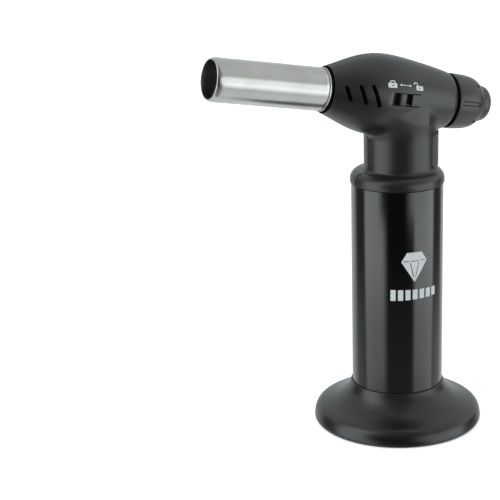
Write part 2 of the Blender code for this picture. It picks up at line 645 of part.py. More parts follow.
# =============================================================== lever and frame
def valve_lever():
    # x, z from the pivot
    outline = [
        (-3.0, 0.0), (-1.8, -2.6), (1.0, -3.2), (15.5, -3.0), (15.5, -1.2), (6.5, 0.6),
        (6.0, 4.0), (16.6, 21.5), (18.6, 26.5), (18.2, 29.6), (16.0, 29.8), (14.2, 24.6),
        (0.5, 5.0), (-2.6, 2.4)]
    lever = plate("valve_lever", [outline], 2.0, LEVER, STEEL, loc=(0, -8.0, 0), rot=TO_LEFT)
    join(lever, block("lever_fork", (8.2, -8.6, -2.8), (15.3, 4.2, -1.4), LEVER))
    cut(lever, block("lever_fork_gap", (10.0, -2.0, -6.0), (22.0, 2.0, 2.0), LEVER))
    cut(lever, rod("lever_pin_hole", 1.75, (-14, 14), LEVER, seg=14, rot=TO_LEFT))
    rod("lever_pin", 1.45, (-10.6, 10.4), LEVER, STEEL, seg=14, rot=TO_LEFT)


def inner_frame():
    """Plate right of the piezo, with a shelf above and below it and a leg to the pivot."""
    up, forward = tank_to_head(PIVOT_X, PIVOT_Z)
    # up, forward
    outline = [(up - 3.2, forward - 3.0), (-14.0, 1.5), (-14.0, -6.0), (6.9, -6.0),
               (6.9, 12.0), (-12.0, 12.0), (up - 3.2, forward + 3.0)]
    frame = plate("inner_frame", [outline], 2.0, HEAD, INNER, loc=(0, 9.0, 0), rot=TO_LEFT)
    join(frame, block("frame_shelf_top", (5.1, -6.2, -4.0), (6.7, 8.6, 10.0), HEAD))
    join(frame, block("frame_shelf_low", (-6.9, -6.2, -3.0), (-5.1, 8.6, 10.0), HEAD))
    cut(frame, rod("frame_pin_hole", 1.7, (-14, 14), LEVER, seg=14, rot=TO_LEFT))


def lock_switch():
    """Slide inside the left shell, its thumb piece out through the window."""
    switch = block("lock_switch", (-4.2, -20.3, 0.0), (6.2, -18.8, 19.4), HEAD, PLASTIC)
    join(switch, block("lock_thumb", (-2.4, -25.9, 8.1), (4.7, -20.0, 12.6), HEAD))
    join(switch, block("lock_latch", (-1.5, -19.5, 0.4), (1.0, -11.0, 2.5), HEAD))


for build in (foot, sleeve_and_tank, tank_end_cap, fill_valve, outlet_valve,
              head_shells, shell_screws, neck_back_insert,
              burner_tube, burner_mount, mixing_tube, flame_holder, gas_jet, spark_lead,
              piezo, ignition_button, flame_knob, gears, regulator, gas_hoses,
              valve_lever, inner_frame, lock_switch):
    build()
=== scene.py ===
# Looks of a butane torch: an upright tank on a round foot, with a tilted burner head on its neck.
# The tank axis is +Z. The flame end points to -X and a little up, the push button to +X.
# The near side, with the lock slide and the printed marks, is -Y.
# Lengths are in millimetres unless said; the scene is in metres.
import bpy
import bmesh
import json
import numpy as np
from math import pi, sin, cos, tan, acos, atan2, sqrt, radians
from mathutils import Vector, Matrix


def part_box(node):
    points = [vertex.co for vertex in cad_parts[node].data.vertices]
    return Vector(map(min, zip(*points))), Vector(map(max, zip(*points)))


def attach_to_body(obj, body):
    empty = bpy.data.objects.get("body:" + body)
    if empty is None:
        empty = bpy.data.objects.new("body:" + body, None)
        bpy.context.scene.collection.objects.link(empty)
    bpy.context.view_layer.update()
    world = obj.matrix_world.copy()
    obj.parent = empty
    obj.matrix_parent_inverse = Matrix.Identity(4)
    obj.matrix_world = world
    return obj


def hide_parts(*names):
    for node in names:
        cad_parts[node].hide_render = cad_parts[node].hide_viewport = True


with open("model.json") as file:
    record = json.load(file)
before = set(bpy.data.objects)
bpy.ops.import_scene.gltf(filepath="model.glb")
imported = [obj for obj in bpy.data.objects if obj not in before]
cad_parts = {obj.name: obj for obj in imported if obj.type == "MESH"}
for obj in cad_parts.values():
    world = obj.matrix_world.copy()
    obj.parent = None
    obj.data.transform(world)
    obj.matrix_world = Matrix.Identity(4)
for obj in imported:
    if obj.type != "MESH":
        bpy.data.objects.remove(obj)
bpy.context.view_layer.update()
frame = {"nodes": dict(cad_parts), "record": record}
MM = 0.001
BODY = "torch_body"

TILT = radians(10.8)
HEAD_Z = 217.1                                       # where the head axis meets the tank axis
FORWARD = np.array([-cos(TILT), 0.0, sin(TILT)])     # along the head, toward the flame
UPWARD = np.array([sin(TILT), 0.0, cos(TILT)])       # across the head
HEAD_CENTRE = np.array([0.0, 0.0, HEAD_Z])

# all is laid out from the foot of the tank axis, then carried to where the frame has that axis
tube_low, tube_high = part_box("body_tube")
TANK_FRAME = Matrix.Translation(((tube_low[0] + tube_high[0]) / 2,
                                 (tube_low[1] + tube_high[1]) / 2, 0))
# head frame: local X is up across the head, local Z is forward along it
HEAD_FRAME = TANK_FRAME @ Matrix(((UPWARD[0], 0, FORWARD[0], 0), (0, 1, 0, 0),
                                  (UPWARD[2], 0, FORWARD[2], HEAD_Z * MM), (0, 0, 0, 1)))

NECK_X, NECK_R = 2.4, 23.4
SLEEVE_R = 29.55
FOOT_SCREW_R = 16                                    # circle on which the foot screws stand
FOOT_SCREW_ANGLES = [pi / 2 + 2 * pi * i / 3 for i in range(3)]

# ------------------------------------------------------------------ shader nodes


def feed(tree, node, inputs):
    """links each socket given, or sets each plain value"""
    for key, value in inputs.items():
        if isinstance(value, bpy.types.NodeSocket):
            tree.links.new(value, node.inputs[key])
        else:
            node.inputs[key].default_value = value


def add_node(tree, kind, inputs, **settings):
    node = tree.nodes.new("ShaderNode" + kind)
    for setting, value in settings.items():
        setattr(node, setting, value)
    feed(tree, node, inputs)
    return node


def new_mat(name):
    material = bpy.data.materials.new(name)
    material.use_nodes = True
    tree = material.node_tree
    return material, tree, tree.nodes["Principled BSDF"]


def coords(tree, scale=(1, 1, 1)):
    source = add_node(tree, "TexCoord", {}).outputs["Object"]
    return add_node(tree, "Mapping", {"Scale": scale, "Vector": source}).outputs["Vector"]


def noise(tree, vector, scale, detail=3.0, rough=0.55):
    inputs = {"Scale": scale, "Detail": detail, "Roughness": rough, "Vector": vector}
    return add_node(tree, "TexNoise", inputs).outputs["Fac"]


def ramp(tree, factor, stops):
    """colour ramp through (position, colour) stops"""
    node = add_node(tree, "ValToRGB", {"Fac": factor})
    elements = node.color_ramp.elements
    for element, stop in ((elements[0], stops[0]), (elements[1], stops[-1])):
        element.position = stop[0]
        element.color = (*stop[1], 1)
    for position, colour in stops[1:-1]:
        elements.new(position).color = (*colour, 1)
    return node.outputs["Color"]


def span(tree, factor, low, high):
    """carries 0..1 to low..high"""
    inputs = {"To Min": low, "To Max": high, "Value": factor}
    return add_node(tree, "MapRange", inputs).outputs["Result"]


def calc(tree, operation, first, second):
    return add_node(tree, "Math", {0: first, 1: second}, operation=operation).outputs["Value"]


def mix_colour(tree, factor, first, second):
    inputs = {"Factor": factor, "A": first, "B": (*second, 1)}
    return add_node(tree, "Mix", inputs, data_type='RGBA').outputs["Result"]


def bump(tree, height, strength, distance):
    """distance is in metres"""
    inputs = {"Strength": strength, "Distance": distance, "Height": height}
    return add_node(tree, "Bump", inputs).outputs["Normal"]


def edge_wear(tree):
    """0 on flat ground, toward 1 on worn outer edges"""
    pointiness = add_node(tree, "NewGeometry", {}).outputs["Pointiness"]
    inputs = {"From Min": 0.50, "From Max": 0.58, "Value": pointiness}
    return add_node(tree, "MapRange", inputs).outputs["Result"]


def scaled(colour, factor, lift=0.0):
    return tuple(min(1.0, x * factor + lift) for x in colour)


# ------------------------------------------------------------------ kinds of material


def mat_plastic(name, base, rough, grain=0.35, grain_scale=2600.0, ior=1.5):
    """moulded thermoplastic: eroded grain, slow cloudiness, slightly lighter worn edges"""
    material, tree, shader = new_mat(name)
    vector = coords(tree)
    cloud = noise(tree, vector, scale=38.0, detail=2.0)
    fine = noise(tree, vector, scale=grain_scale, detail=2.0, rough=0.6)
    colour = ramp(tree, cloud, [(0.3, scaled(base, 0.86)), (0.7, scaled(base, 1.16))])
    wear = calc(tree, 'MULTIPLY', edge_wear(tree), 0.35)
    feed(tree, shader, {
        "Base Color": mix_colour(tree, wear, colour, scaled(base, 2.0, lift=0.01)),
        "Roughness": calc(tree, 'ADD', span(tree, cloud, low=rough - 0.035, high=rough + 0.035),
                          span(tree, fine, low=-0.03, high=0.03)),
        "IOR": ior,
        "Normal": bump(tree, fine, strength=grain, distance=0.00003)})
    return material


def mat_metal(name, base, rough, lines=(1, 1, 60), line_scale=90.0, tint=None):
    """satin metal: fine brushing in one direction, faint stains, soft clouds"""
    material, tree, shader = new_mat(name)
    brush = noise(tree, coords(tree, lines), scale=line_scale, detail=4.0, rough=0.65)
    cloud = noise(tree, coords(tree), scale=55.0)
    stain = noise(tree, coords(tree, (1, 1, 0.35)), scale=130.0, detail=4.0, rough=0.6)
    colour = ramp(tree, cloud, [(0.3, scaled(base, 0.90)), (0.7, scaled(base, 1.06))])
    if tint is not None:
        amount = calc(tree, 'MULTIPLY', span(tree, stain, low=-0.25, high=0.55), 0.5)
        colour = mix_colour(tree, amount, colour, tint)
    feed(tree, shader, {
        "Metallic": 1.0,
        "Base Color": colour,
        "Roughness": calc(tree, 'ADD', span(tree, brush, low=rough - 0.05, high=rough + 0.05),
                          span(tree, stain, low=-0.03, high=0.05)),
        "Normal": bump(tree, brush, strength=0.12, distance=0.00004)})
    return material


def mat_gloss(name, base, rough):
    """gloss coating over metal: slight orange peel, hazy patches, dust specks"""
    material, tree, shader = new_mat(name)
    vector = coords(tree)
    peel = noise(tree, vector, scale=420.0, detail=2.0)
    haze = noise(tree, coords(tree, (1, 1, 0.4)), scale=60.0)
    speck = noise(tree, vector, scale=1500.0, detail=1.0)
    dust = scaled(base, 2.2, lift=0.004)
    feed(tree, shader, {
        "Base Color": ramp(tree, speck, [(0.2, base), (0.72, base), (0.80, dust)]),
        "Roughness": span(tree, haze, low=rough - 0.03, high=rough + 0.05),
        "Coat Weight": 0.6,
        "Coat Roughness": 0.11,
        "Normal": bump(tree, peel, strength=0.10, distance=0.00008)})
    return material


def mat_rubber(name, base, rough=0.7, spec=0.5):
    """matt rubber with a fine mottle"""
    material, tree, shader = new_mat(name)
    fine = noise(tree, coords(tree), scale=900.0)
    feed(tree, shader, {
        "Base Color": ramp(tree, fine, [(0.3, scaled(base, 0.8)), (0.7, scaled(base, 1.3))]),
        "Roughness": span(tree, fine, low=rough - 0.08, high=rough + 0.08),
        "Normal": bump(tree, fine, strength=0.25, distance=0.00003),
        "Specular IOR Level": spec})
    return material


def mat_print(name, base):
    """pad-printed ink: slightly uneven cover"""
    material, tree, shader = new_mat(name)
    fine = noise(tree, coords(tree), scale=900.0)
    feed(tree, shader, {
        "Base Color": ramp(tree, fine, [(0.25, scaled(base, 0.86)), (0.7, base)]),
        "Roughness": span(tree, fine, low=0.42, high=0.56),
        "Normal": bump(tree, fine, strength=0.1, distance=0.00002)})
    return material


PLASTIC = mat_plastic("satin_black_plastic", base=(0.0092, 0.0102, 0.0112), rough=0.33,
                      grain=0.30, ior=1.60)
FOOT = mat_plastic("foot_black_plastic", base=(0.0060, 0.0065, 0.0071), rough=0.29,
                   grain=0.18, ior=1.58)
RING = mat_plastic("ring_black_plastic", base=(0.0185, 0.0192, 0.0199), rough=0.33,
                   grain=0.38, grain_scale=2000.0, ior=1.64)
PANEL = mat_plastic("panel_grain_plastic", base=(0.042, 0.044, 0.046), rough=0.46,
                    grain=0.8, grain_scale=1100.0, ior=1.55)
GLOSS = mat_gloss("gloss_black_sleeve", base=(0.0020, 0.0022, 0.0024), rough=0.155)
STEEL = mat_metal("satin_stainless", base=(0.545, 0.545, 0.518), rough=0.24,
                  tint=(0.52, 0.49, 0.45))
SCREW = mat_metal("screw_zinc", base=(0.52, 0.52, 0.52), rough=0.30, lines=(1, 1, 1),
                  line_scale=700.0)
BRASS = mat_metal("machined_brass", base=(0.74, 0.55, 0.26), rough=0.28, lines=(1, 1, 30),
                  line_scale=160.0)
WIRE = mat_metal("spring_wire", base=(0.55, 0.55, 0.56), rough=0.25, lines=(1, 1, 1),
                 line_scale=800.0)
RUBBER = mat_rubber("black_rubber", base=(0.012, 0.012, 0.012))
HOSE = mat_rubber("fuel_hose", base=(0.055, 0.045, 0.035), rough=0.5)
INK = mat_print("white_print", base=(0.72, 0.75, 0.76))
NYLON = mat_plastic("natural_nylon", base=(0.60, 0.57, 0.50), rough=0.45, grain=0.2)
GREY = mat_plastic("grey_nylon", base=(0.12, 0.12, 0.125), rough=0.50)
CERAMIC = mat_plastic("glazed_ceramic", base=(0.78, 0.76, 0.70), rough=0.28, grain=0.05)
LEAD = mat_plastic("lead_sleeve", base=(0.30, 0.02, 0.015), rough=0.42, grain=0.2)
# near-black, with almost no gloss: painted shade, used in gaps and hollows
SHADE_BLACK = mat_rubber("painted_shade_black", base=(0.003, 0.003, 0.003), rough=0.85, spec=0.08)
# paler than the moulding: painted highlight on the ramp in front of the lock window
RAMP_PAINTED_SHEEN = mat_plastic("ramp_painted_sheen_plastic", base=(0.075, 0.076, 0.082), rough=0.42, grain=0.5)

MATERIAL_OF_SLOT = {
    "black_plastic": PLASTIC, "black_sleeve": GLOSS, "grey_nylon": GREY,
    "natural_nylon": NYLON, "stainless": STEEL, "spring_wire": WIRE, "brass": BRASS,
    "black_rubber": RUBBER, "fuel_hose": HOSE, "ceramic": CERAMIC, "lead_sleeve": LEAD}


def dress_frame():
    """gives every CAD piece its material"""
    slot_of = {part["node"]: part["material_slot"] for part in frame["record"]["subparts"]}
    for name, ob in frame["nodes"].items():
        material = MATERIAL_OF_SLOT[slot_of[name]]
        if name.startswith(("shell_screw", "base_screw")):
            material = SCREW
        if ob.material_slots:
            for material_slot in ob.material_slots:
                material_slot.material = material
        else:
            ob.data.materials.append(material)


dress_frame()

# ------------------------------------------------------------------ making meshes


def attach(ob, body, replaced=None):
    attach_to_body(ob, body)
    if replaced:
        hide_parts(replaced)


def shade(mesh, sharp):
    """smooth faces, with sharp edges above an angle in degrees"""
    mesh.polygons.foreach_set("use_smooth", [True] * len(mesh.polygons))
    if sharp:
        mesh.set_sharp_from_angle(angle=radians(sharp))


def solid_mesh(name, verts, faces):
    """mesh from millimetres, its normals turned outward"""
    mesh = bpy.data.meshes.new(name)
    mesh.from_pydata([tuple(v) for v in np.asarray(verts, float) * MM], [], faces)
    bm = bmesh.new()
    bm.from_mesh(mesh)
    bmesh.ops.recalc_face_normals(bm, faces=bm.faces)
    bm.to_mesh(mesh)
    bm.free()
    return mesh


def make(name, verts, faces, material, body=BODY, slot=None, replaced=None,
         place=TANK_FRAME, sharp=32.0):
    """one piece that rides on a body; with body None it is attached later"""
    mesh = solid_mesh(name, verts, faces)
    shade(mesh, sharp)
    mesh.materials.append(material)
    ob = bpy.data.objects.new(name, mesh)
    bpy.context.scene.collection.objects.link(ob)
    ob.matrix_world = place
    if body:
        attach(ob, body, replaced)
    return ob


def ring_quads(first, second, count):
    """quads between two closed rings, each given by its first vertex"""
    return [(first + k, first + (k + 1) % count, second + (k + 1) % count, second + k)
            for k in range(count)]


def prism_faces(count):
    """faces of a prism whose vertices are its two end outlines in turn"""
    ends = [tuple(range(count)), tuple(range(2 * count - 1, count - 1, -1))]
    return ends + ring_quads(0, count, count)


def cut(ob, parts, place=TANK_FRAME):
    """takes closed (verts, faces) parts away as one cutter; where coplanar facets upset the
    result, tries again with the cutter nudged by microns"""
    verts, faces = [], []
    for part_verts, part_faces in parts:
        faces += [tuple(i + len(verts) for i in face) for face in part_faces]
        verts += list(part_verts)
    cutter = bpy.data.objects.new("cutter", solid_mesh("cutter", verts, faces))
    cutter.matrix_world = place
    bpy.context.scene.collection.objects.link(cutter)
    rest = cutter.matrix_world.copy()
    before = len(ob.data.vertices)
    for k in range(14):
        turn = Matrix.Rotation(0.00023 * k, 4, (0.3, 0.5, 0.81))
        shift = Matrix.Translation((3e-6 * k, -2e-6 * k, 4e-6 * k))
        cutter.matrix_world = rest @ turn @ shift
        boolean = ob.modifiers.new("cut", 'BOOLEAN')
        boolean.operation = 'DIFFERENCE'
        boolean.solver = 'EXACT'
        boolean.object = cutter
        depsgraph = bpy.context.evaluated_depsgraph_get()
        depsgraph.update()
        mesh = bpy.data.meshes.new_from_object(ob.evaluated_get(depsgraph))
        ob.modifiers.clear()
        bm = bmesh.new()
        bm.from_mesh(mesh)
        open_edges = sum(1 for e in bm.edges if len(e.link_faces) != 2)
        bm.free()
        if open_edges == 0 and len(mesh.vertices) > 0.6 * before:
            break
        bpy.data.meshes.remove(mesh)
    else:
        raise RuntimeError("cut failed on " + ob.name)
    old = ob.data
    ob.data = mesh
    bpy.data.meshes.remove(old)
    bpy.data.objects.remove(cutter, do_unlink=True)


# ------------------------------------------------------------------ outlines and sections


def spline(knots, values):
    """natural cubic through the points"""
    knots, values = np.asarray(knots, float), np.asarray(values, float)
    count = len(knots)
    step = np.diff(knots)
    system = np.zeros((count, count))
    right = np.zeros(count)
    system[0, 0] = system[-1, -1] = 1.0
    for i in range(1, count - 1):
        system[i, i - 1:i + 2] = step[i - 1], 2 * (step[i - 1] + step[i]), step[i]
        right[i] = 6 * ((values[i + 1] - values[i]) / step[i]
                        - (values[i] - values[i - 1]) / step[i - 1])
    bend = np.linalg.solve(system, right)

    def curve(x):
        x = np.asarray(x, float)
        i = np.clip(np.searchsorted(knots, x) - 1, 0, count - 2)
        after, before = knots[i + 1] - x, x - knots[i]
        return ((bend[i] * after ** 3 + bend[i + 1] * before ** 3) / (6 * step[i])
                + (values[i] / step[i] - bend[i] * step[i] / 6) * after
                + (values[i + 1] / step[i] - bend[i + 1] * step[i] / 6) * before)
    return curve


def through(points, count):
    """smooth curve through (radius, height) points, evenly sampled"""
    points = np.asarray(points, float)
    run = np.concatenate([[0], np.cumsum(np.hypot(*np.diff(points, axis=0).T))])
    samples = np.linspace(0, run[-1], count)
    return list(zip(spline(run, points[:, 0])(samples), spline(run, points[:, 1])(samples)))


def fillet(points, steps=6, closed=True):
    """corner list (x, y, rounding) to a polyline with arcs"""
    out = []
    count = len(points)
    for i, point in enumerate(points):
        rounding = point[2]
        if rounding <= 0 or (not closed and i in (0, count - 1)):
            out.append((point[0], point[1]))
            continue
        before, corner, after = (np.array(p[:2], float) for p in
                                 (points[i - 1], point, points[(i + 1) % count]))
        length_in = np.linalg.norm(before - corner)
        length_out = np.linalg.norm(after - corner)
        way_in, way_out = (before - corner) / length_in, (after - corner) / length_out
        angle = acos(max(-1.0, min(1.0, float(way_in @ way_out))))
        trim = min(rounding / tan(angle / 2), 0.48 * length_in, 0.48 * length_out)
        radius = trim * tan(angle / 2)
        middle = way_in + way_out
        centre = corner + middle / np.linalg.norm(middle) * radius / sin(angle / 2)
        start, end = corner + way_in * trim - centre, corner + way_out * trim - centre
        from_angle = atan2(start[1], start[0])
        sweep = (atan2(end[1], end[0]) - from_angle + pi) % (2 * pi) - pi
        for k in range(steps + 1):
            turn = from_angle + sweep * k / steps
            out.append((centre[0] + radius * cos(turn), centre[1] + radius * sin(turn)))
    return out


def circle(radius, count, x, y):
    return [(x + radius * cos(2 * pi * i / count), y + radius * sin(2 * pi * i / count))
            for i in range(count)]


def round_box(x0, x1, y0, y1, radius, steps=6):
    out = []
    for x, y, start in ((x1 - radius, y1 - radius, 0), (x0 + radius, y1 - radius, 90),
                        (x0 + radius, y0 + radius, 180), (x1 - radius, y0 + radius, 270)):
        for i in range(steps + 1):
            turn = radians(start + 90.0 * i / steps)
            out.append((x + radius * cos(turn), y + radius * sin(turn)))
    return out


def stadium(start, end, width, steps=10):
    """slot outline with round ends about two points"""
    run_x, run_y = end[0] - start[0], end[1] - start[1]
    length = sqrt(run_x * run_x + run_y * run_y)
    way_x, way_y = run_x / length, run_y / length
    out = []
    for centre, side in ((end, width / 2), (start, -width / 2)):
        for i in range(steps + 1):
            turn = -pi / 2 + pi * i / steps
            out.append((centre[0] + side * (way_x * cos(turn) - way_y * sin(turn)),
                        centre[1] + side * (way_y * cos(turn) + way_x * sin(turn))))
    return out


def lathe(name, profile, material, seg=128, shape=None, place=HEAD_FRAME, **fit):
    """(radius, height) section turned about local Z; one that starts and ends on the axis is
    closed there. shape, if given, reworks the radii from radius, height and angle"""
    solid = profile[0][0] < 1e-6 and profile[-1][0] < 1e-6
    rows = np.asarray(profile[1:-1] if solid else profile, float)
    count = len(rows)
    turn = np.arange(seg) * 2 * pi / seg
    radius = np.repeat(rows[:, :1], seg, axis=1)
    height = np.repeat(rows[:, 1:], seg, axis=1)
    if shape:
        radius = shape(radius, height, turn)
    verts = np.stack([radius * np.cos(turn), radius * np.sin(turn), height], -1)
    verts = verts.reshape(-1, 3).tolist()
    faces = []
    for i in range(count - 1 if solid else count):
        faces += ring_quads(i * seg, (i + 1) % count * seg, seg)
    if solid:
        for first, z in ((0, profile[0][1]), ((count - 1) * seg, profile[-1][1])):
            verts.append([0.0, 0.0, z])
            tip = len(verts) - 1
            faces += [(tip, first + k, first + (k + 1) % seg) for k in range(seg)]
    return make(name, verts, faces, material, place=place, **fit)


def flat_fill(loops):
    """2D outlines (mm) to a filled bmesh in the XY plane"""
    curve = bpy.data.curves.new("fill", 'CURVE')
    curve.dimensions = '2D'
    curve.fill_mode = 'BOTH'
    for loop in loops:
        line = curve.splines.new('POLY')
        line.points.add(len(loop) - 1)
        for point, (x, y) in zip(line.points, loop):
            point.co = (x, y, 0.0, 1.0)
        line.use_cyclic_u = True
    ob = bpy.data.objects.new("fill", curve)
    bpy.context.scene.collection.objects.link(ob)
    depsgraph = bpy.context.evaluated_depsgraph_get()
    depsgraph.update()
    mesh = bpy.data.meshes.new_from_object(ob.evaluated_get(depsgraph))
    bpy.data.objects.remove(ob, do_unlink=True)
    bpy.data.curves.remove(curve)
    bm = bmesh.new()
    bm.from_mesh(mesh)
    bpy.data.meshes.remove(mesh)
    bmesh.ops.remove_doubles(bm, verts=bm.verts, dist=1e-5)
    return bm


def slice_fill(bm, axis, start, stop, step):
    """divides a flat fill at even steps, so that it can bend"""
    normal = (1, 0, 0) if axis == 0 else (0, 1, 0)
    place = start
    while place < stop:
        point = (place, 0, 0) if axis == 0 else (0, place, 0)
        bmesh.ops.bisect_plane(bm, geom=bm.verts[:] + bm.edges[:] + bm.faces[:],
                               plane_co=point, plane_no=normal, dist=1e-5)
        place += step


def bent_solid(bm, lower, upper):
    """closed solid from a flat fill laid on two mappings; uses up the bmesh"""
    bm.verts.index_update()
    points = [(v.co.x, v.co.y) for v in bm.verts]
    count = len(points)
    verts = [lower(x, y) for x, y in points] + [upper(x, y) for x, y in points]
    faces = [tuple(v.index for v in f.verts) for f in bm.faces]
    faces += [tuple(i + count for i in reversed(f)) for f in faces]
    for edge in bm.edges:
        if len(edge.link_faces) == 1:
            i, j = (v.index for v in edge.verts)
            faces.append((i, j, j + count, i + count))
    bm.free()
    return verts, faces


def wrapped(name, loops, lower, upper, material, step, **fit):
    """a filled outline laid on a curved surface, as a thin closed solid between two mappings"""
    bm = flat_fill(loops)
    limits = []
    for axis in (0, 1):
        places = [v.co[axis] for v in bm.verts]
        limits.append((min(places), max(places)))
    for axis, (low, high) in enumerate(limits):
        slice_fill(bm, axis, low + step, high - 0.05, step)
    make(name, *bent_solid(bm, lower, upper), material, sharp=40.0, **fit)


def head_point(forward, up, y=0.0):
    return HEAD_CENTRE + forward * FORWARD + up * UPWARD + np.array([0.0, y, 0.0])


def head_coords(x, y, z):
    """forward, up and radius about the head axis"""
    forward = x * FORWARD[0] + (z - HEAD_Z) * FORWARD[2]
    up = x * UPWARD[0] + (z - HEAD_Z) * UPWARD[2]
    return forward, up, np.sqrt(up * up + y * y)


def side_prism(outline, y0, y1):
    """prism along Y of an (up, forward) outline on the head"""
    verts = [head_point(forward, up, y) for y in (y0, y1) for up, forward in outline]
    return verts, prism_faces(len(outline))


# ------------------------------------------------------------------ head moulding
# stations along the head and its radius at each
HEAD_STATIONS = [-34.6, -27.4, -19.6, -11.7, -3.9, 3.9, 11.7, 19.6, 27.4, 35.2, 43.0, 48.9, 54.8]
HEAD_RADII = [17.9, 19.45, 21.1, 22.5, 23.8, 24.9, 25.55, 25.35, 23.9, 21.6, 18.6, 16.2, 13.95]
HEAD_UNIT = 50.0             # stations are divided by this for the fit
HEAD_FIT = np.polyfit(np.array(HEAD_STATIONS) / HEAD_UNIT, HEAD_RADII, 7)
HEAD_SLOPE = np.polyder(HEAD_FIT)
HEAD_REAR, HEAD_FRONT = -37.0, 57.0
COLLAR_R, COLLAR_TOP, COLLAR_ROUND = 30.2, 170.4, 6.0

EDGE = 0.26                  # rounding of the moulding's rims
GAP = 0.33                   # half of the parting line
WALL, FRONT_WALL = 2.2, 0.62
NET_STEP = 0.5
RIM_STEPS = 5                # steps in each quarter of a rim's rounding

# rims of the near half: which faces to trim (by centre), a point on the plane, its outward normal
RIMS = (
    (lambda c: c[1] > -3.0, np.array([0, -GAP - EDGE, 0]), np.array([0, 1.0, 0])),
    (lambda c: head_coords(*c)[0] > 48, HEAD_CENTRE + FORWARD * (52.8 - EDGE), FORWARD),
    (lambda c: head_coords(*c)[0] < -28 and head_coords(*c)[2] < 20.6,
     HEAD_CENTRE + FORWARD * (-34.6 + EDGE), -FORWARD),
    (lambda c: c[2] < 165, np.array([0, 0, 162.25 + EDGE]), np.array([0, 0, -1.0])))


def head_radius(forward):
    """radius of the head, its rear rim eased over"""
    ease = np.clip(-30.8 - forward, 0.0, 3.8) / 3.95
    radius = np.polyval(HEAD_FIT, np.clip(forward, HEAD_REAR, HEAD_FRONT) / HEAD_UNIT)
    return radius - 1.8 * (1 - np.sqrt(1 - ease * ease))


def smooth_min(first, second, width):
    overlap = np.maximum(width - np.abs(first - second), 0.0) / width
    return np.minimum(first, second) - overlap * overlap * width * 0.25


def outer_field(x, y, z):
    """signed distance of the outside of head, neck and collar as one moulding"""
    forward, up, radius = head_coords(x, y, z)
    slope = np.polyval(HEAD_SLOPE, np.clip(forward, HEAD_REAR, HEAD_FRONT) / HEAD_UNIT) / HEAD_UNIT
    head = (radius - head_radius(forward)) / np.sqrt(1 + slope * slope)
    head = np.maximum(head, np.maximum(forward - 56.5, HEAD_REAR - forward))
    neck = np.sqrt((x - NECK_X) ** 2 + y * y) - NECK_R
    neck = np.maximum(neck, np.maximum(z - 216.0, 158.0 - z))
    out = np.sqrt(x * x + y * y) - (COLLAR_R - COLLAR_ROUND)
    above = z - (COLLAR_TOP - COLLAR_ROUND)
    collar = (np.sqrt(np.maximum(out, 0) ** 2 + np.maximum(above, 0) ** 2)
              + np.minimum(np.maximum(out, above), 0) - COLLAR_ROUND)
    stem = smooth_min(neck, collar, 3.2)
    # the blend of neck and head is widest low on the sides and fades toward the back
    low = np.clip((-up - 2.0) / 13.0, 0, 1)
    back = np.clip((x - NECK_X - 7.0) / 10.0, 0, 1)
    side = 3.0 + 7.0 * np.clip(np.abs(y) / NECK_R, 0, 1) ** 2
    width = 0.5 + side * low * low * (3 - 2 * low) * (1 - 0.88 * back)
    return smooth_min(stem, head, width)


def surface_net(low, high, step):
    """quads along the zero level of outer_field, one vertex for each cell it crosses"""
    size = [int(round((b - a) / step)) + 1 for a, b in zip(low, high)]
    ticks = [a + step * np.arange(n) for a, n in zip(low, size)]
    value = outer_field(ticks[0][:, None, None], ticks[1][None, :, None], ticks[2][None, None, :])
    inside = value < 0
    filled = np.zeros(tuple(n - 1 for n in size), np.int8)
    corners = list(np.ndindex(2, 2, 2))
    for i, j, k in corners:
        filled += inside[i:size[0] - 1 + i, j:size[1] - 1 + j, k:size[2] - 1 + k]
    crossed = (filled > 0) & (filled < 8)
    cells = np.nonzero(crossed)
    count = len(cells[0])
    index = -np.ones(crossed.shape, int)
    index[crossed] = np.arange(count)
    # each vertex is the mean of the crossings on its cell's edges
    total = np.zeros((count, 3))
    hits = np.zeros(count)
    for corner in corners:
        for axis in range(3):
            if corner[axis]:
                continue
            other = list(corner)
            other[axis] = 1
            start = value[tuple(c + o for c, o in zip(cells, corner))]
            end = value[tuple(c + o for c, o in zip(cells, other))]
            hit = (start < 0) != (end < 0)
            point = np.tile(np.array(corner, float), (count, 1))
            point[:, axis] += np.where(hit, start / np.where(hit, start - end, 1.0), 0.0)
            total[hit] += point[hit]
            hits[hit] += 1
    verts = np.array(low) + step * (np.stack(cells, 1) + total / hits[:, None])
    faces = []
    for axis in range(3):
        here, ahead = [slice(1, -1)] * 3, [slice(1, -1)] * 3
        here[axis], ahead[axis] = slice(None, -1), slice(1, None)
        change = np.nonzero(inside[tuple(here)] != inside[tuple(ahead)])
        cell = [places + int(k != axis) for k, places in enumerate(change)]
        second, third = (axis + 1) % 3, (axis + 2) % 3
        quads = np.stack([index[tuple(cell[k] - int(k in back) for k in range(3))]
                          for back in ((second, third), (third,), (), (second,))], 1)
        faces.append(np.where(inside[tuple(cell)][:, None], quads, quads[:, ::-1]))
    return verts, np.concatenate(faces)


def gradient(points, reach=0.04):
    slopes = np.zeros_like(points)
    for axis in range(3):
        shift = reach * np.eye(3)[axis]
        slopes[:, axis] = (outer_field(*(points + shift).T)
                           - outer_field(*(points - shift).T)) / (2 * reach)
    return slopes


def relax(verts, faces, rounds=6):
    """evens out the net and brings it back onto the surface"""
    edges = np.concatenate([faces[:, [0, 1]], faces[:, [1, 2]], faces[:, [2, 3]], faces[:, [3, 0]]])
    for _ in range(rounds):
        total = np.zeros_like(verts)
        links = np.zeros(len(verts))
        for here, there in ((0, 1), (1, 0)):
            np.add.at(total, edges[:, here], verts[edges[:, there]])
            np.add.at(links, edges[:, here], 1)
        verts = verts + 0.5 * (total / np.maximum(links, 1)[:, None] - verts)
        for _ in range(2):
            slopes = gradient(verts)
            scale = np.maximum((slopes * slopes).sum(1), 1e-9)
            verts = verts - (outer_field(*verts.T) / scale)[:, None] * slopes
    return verts


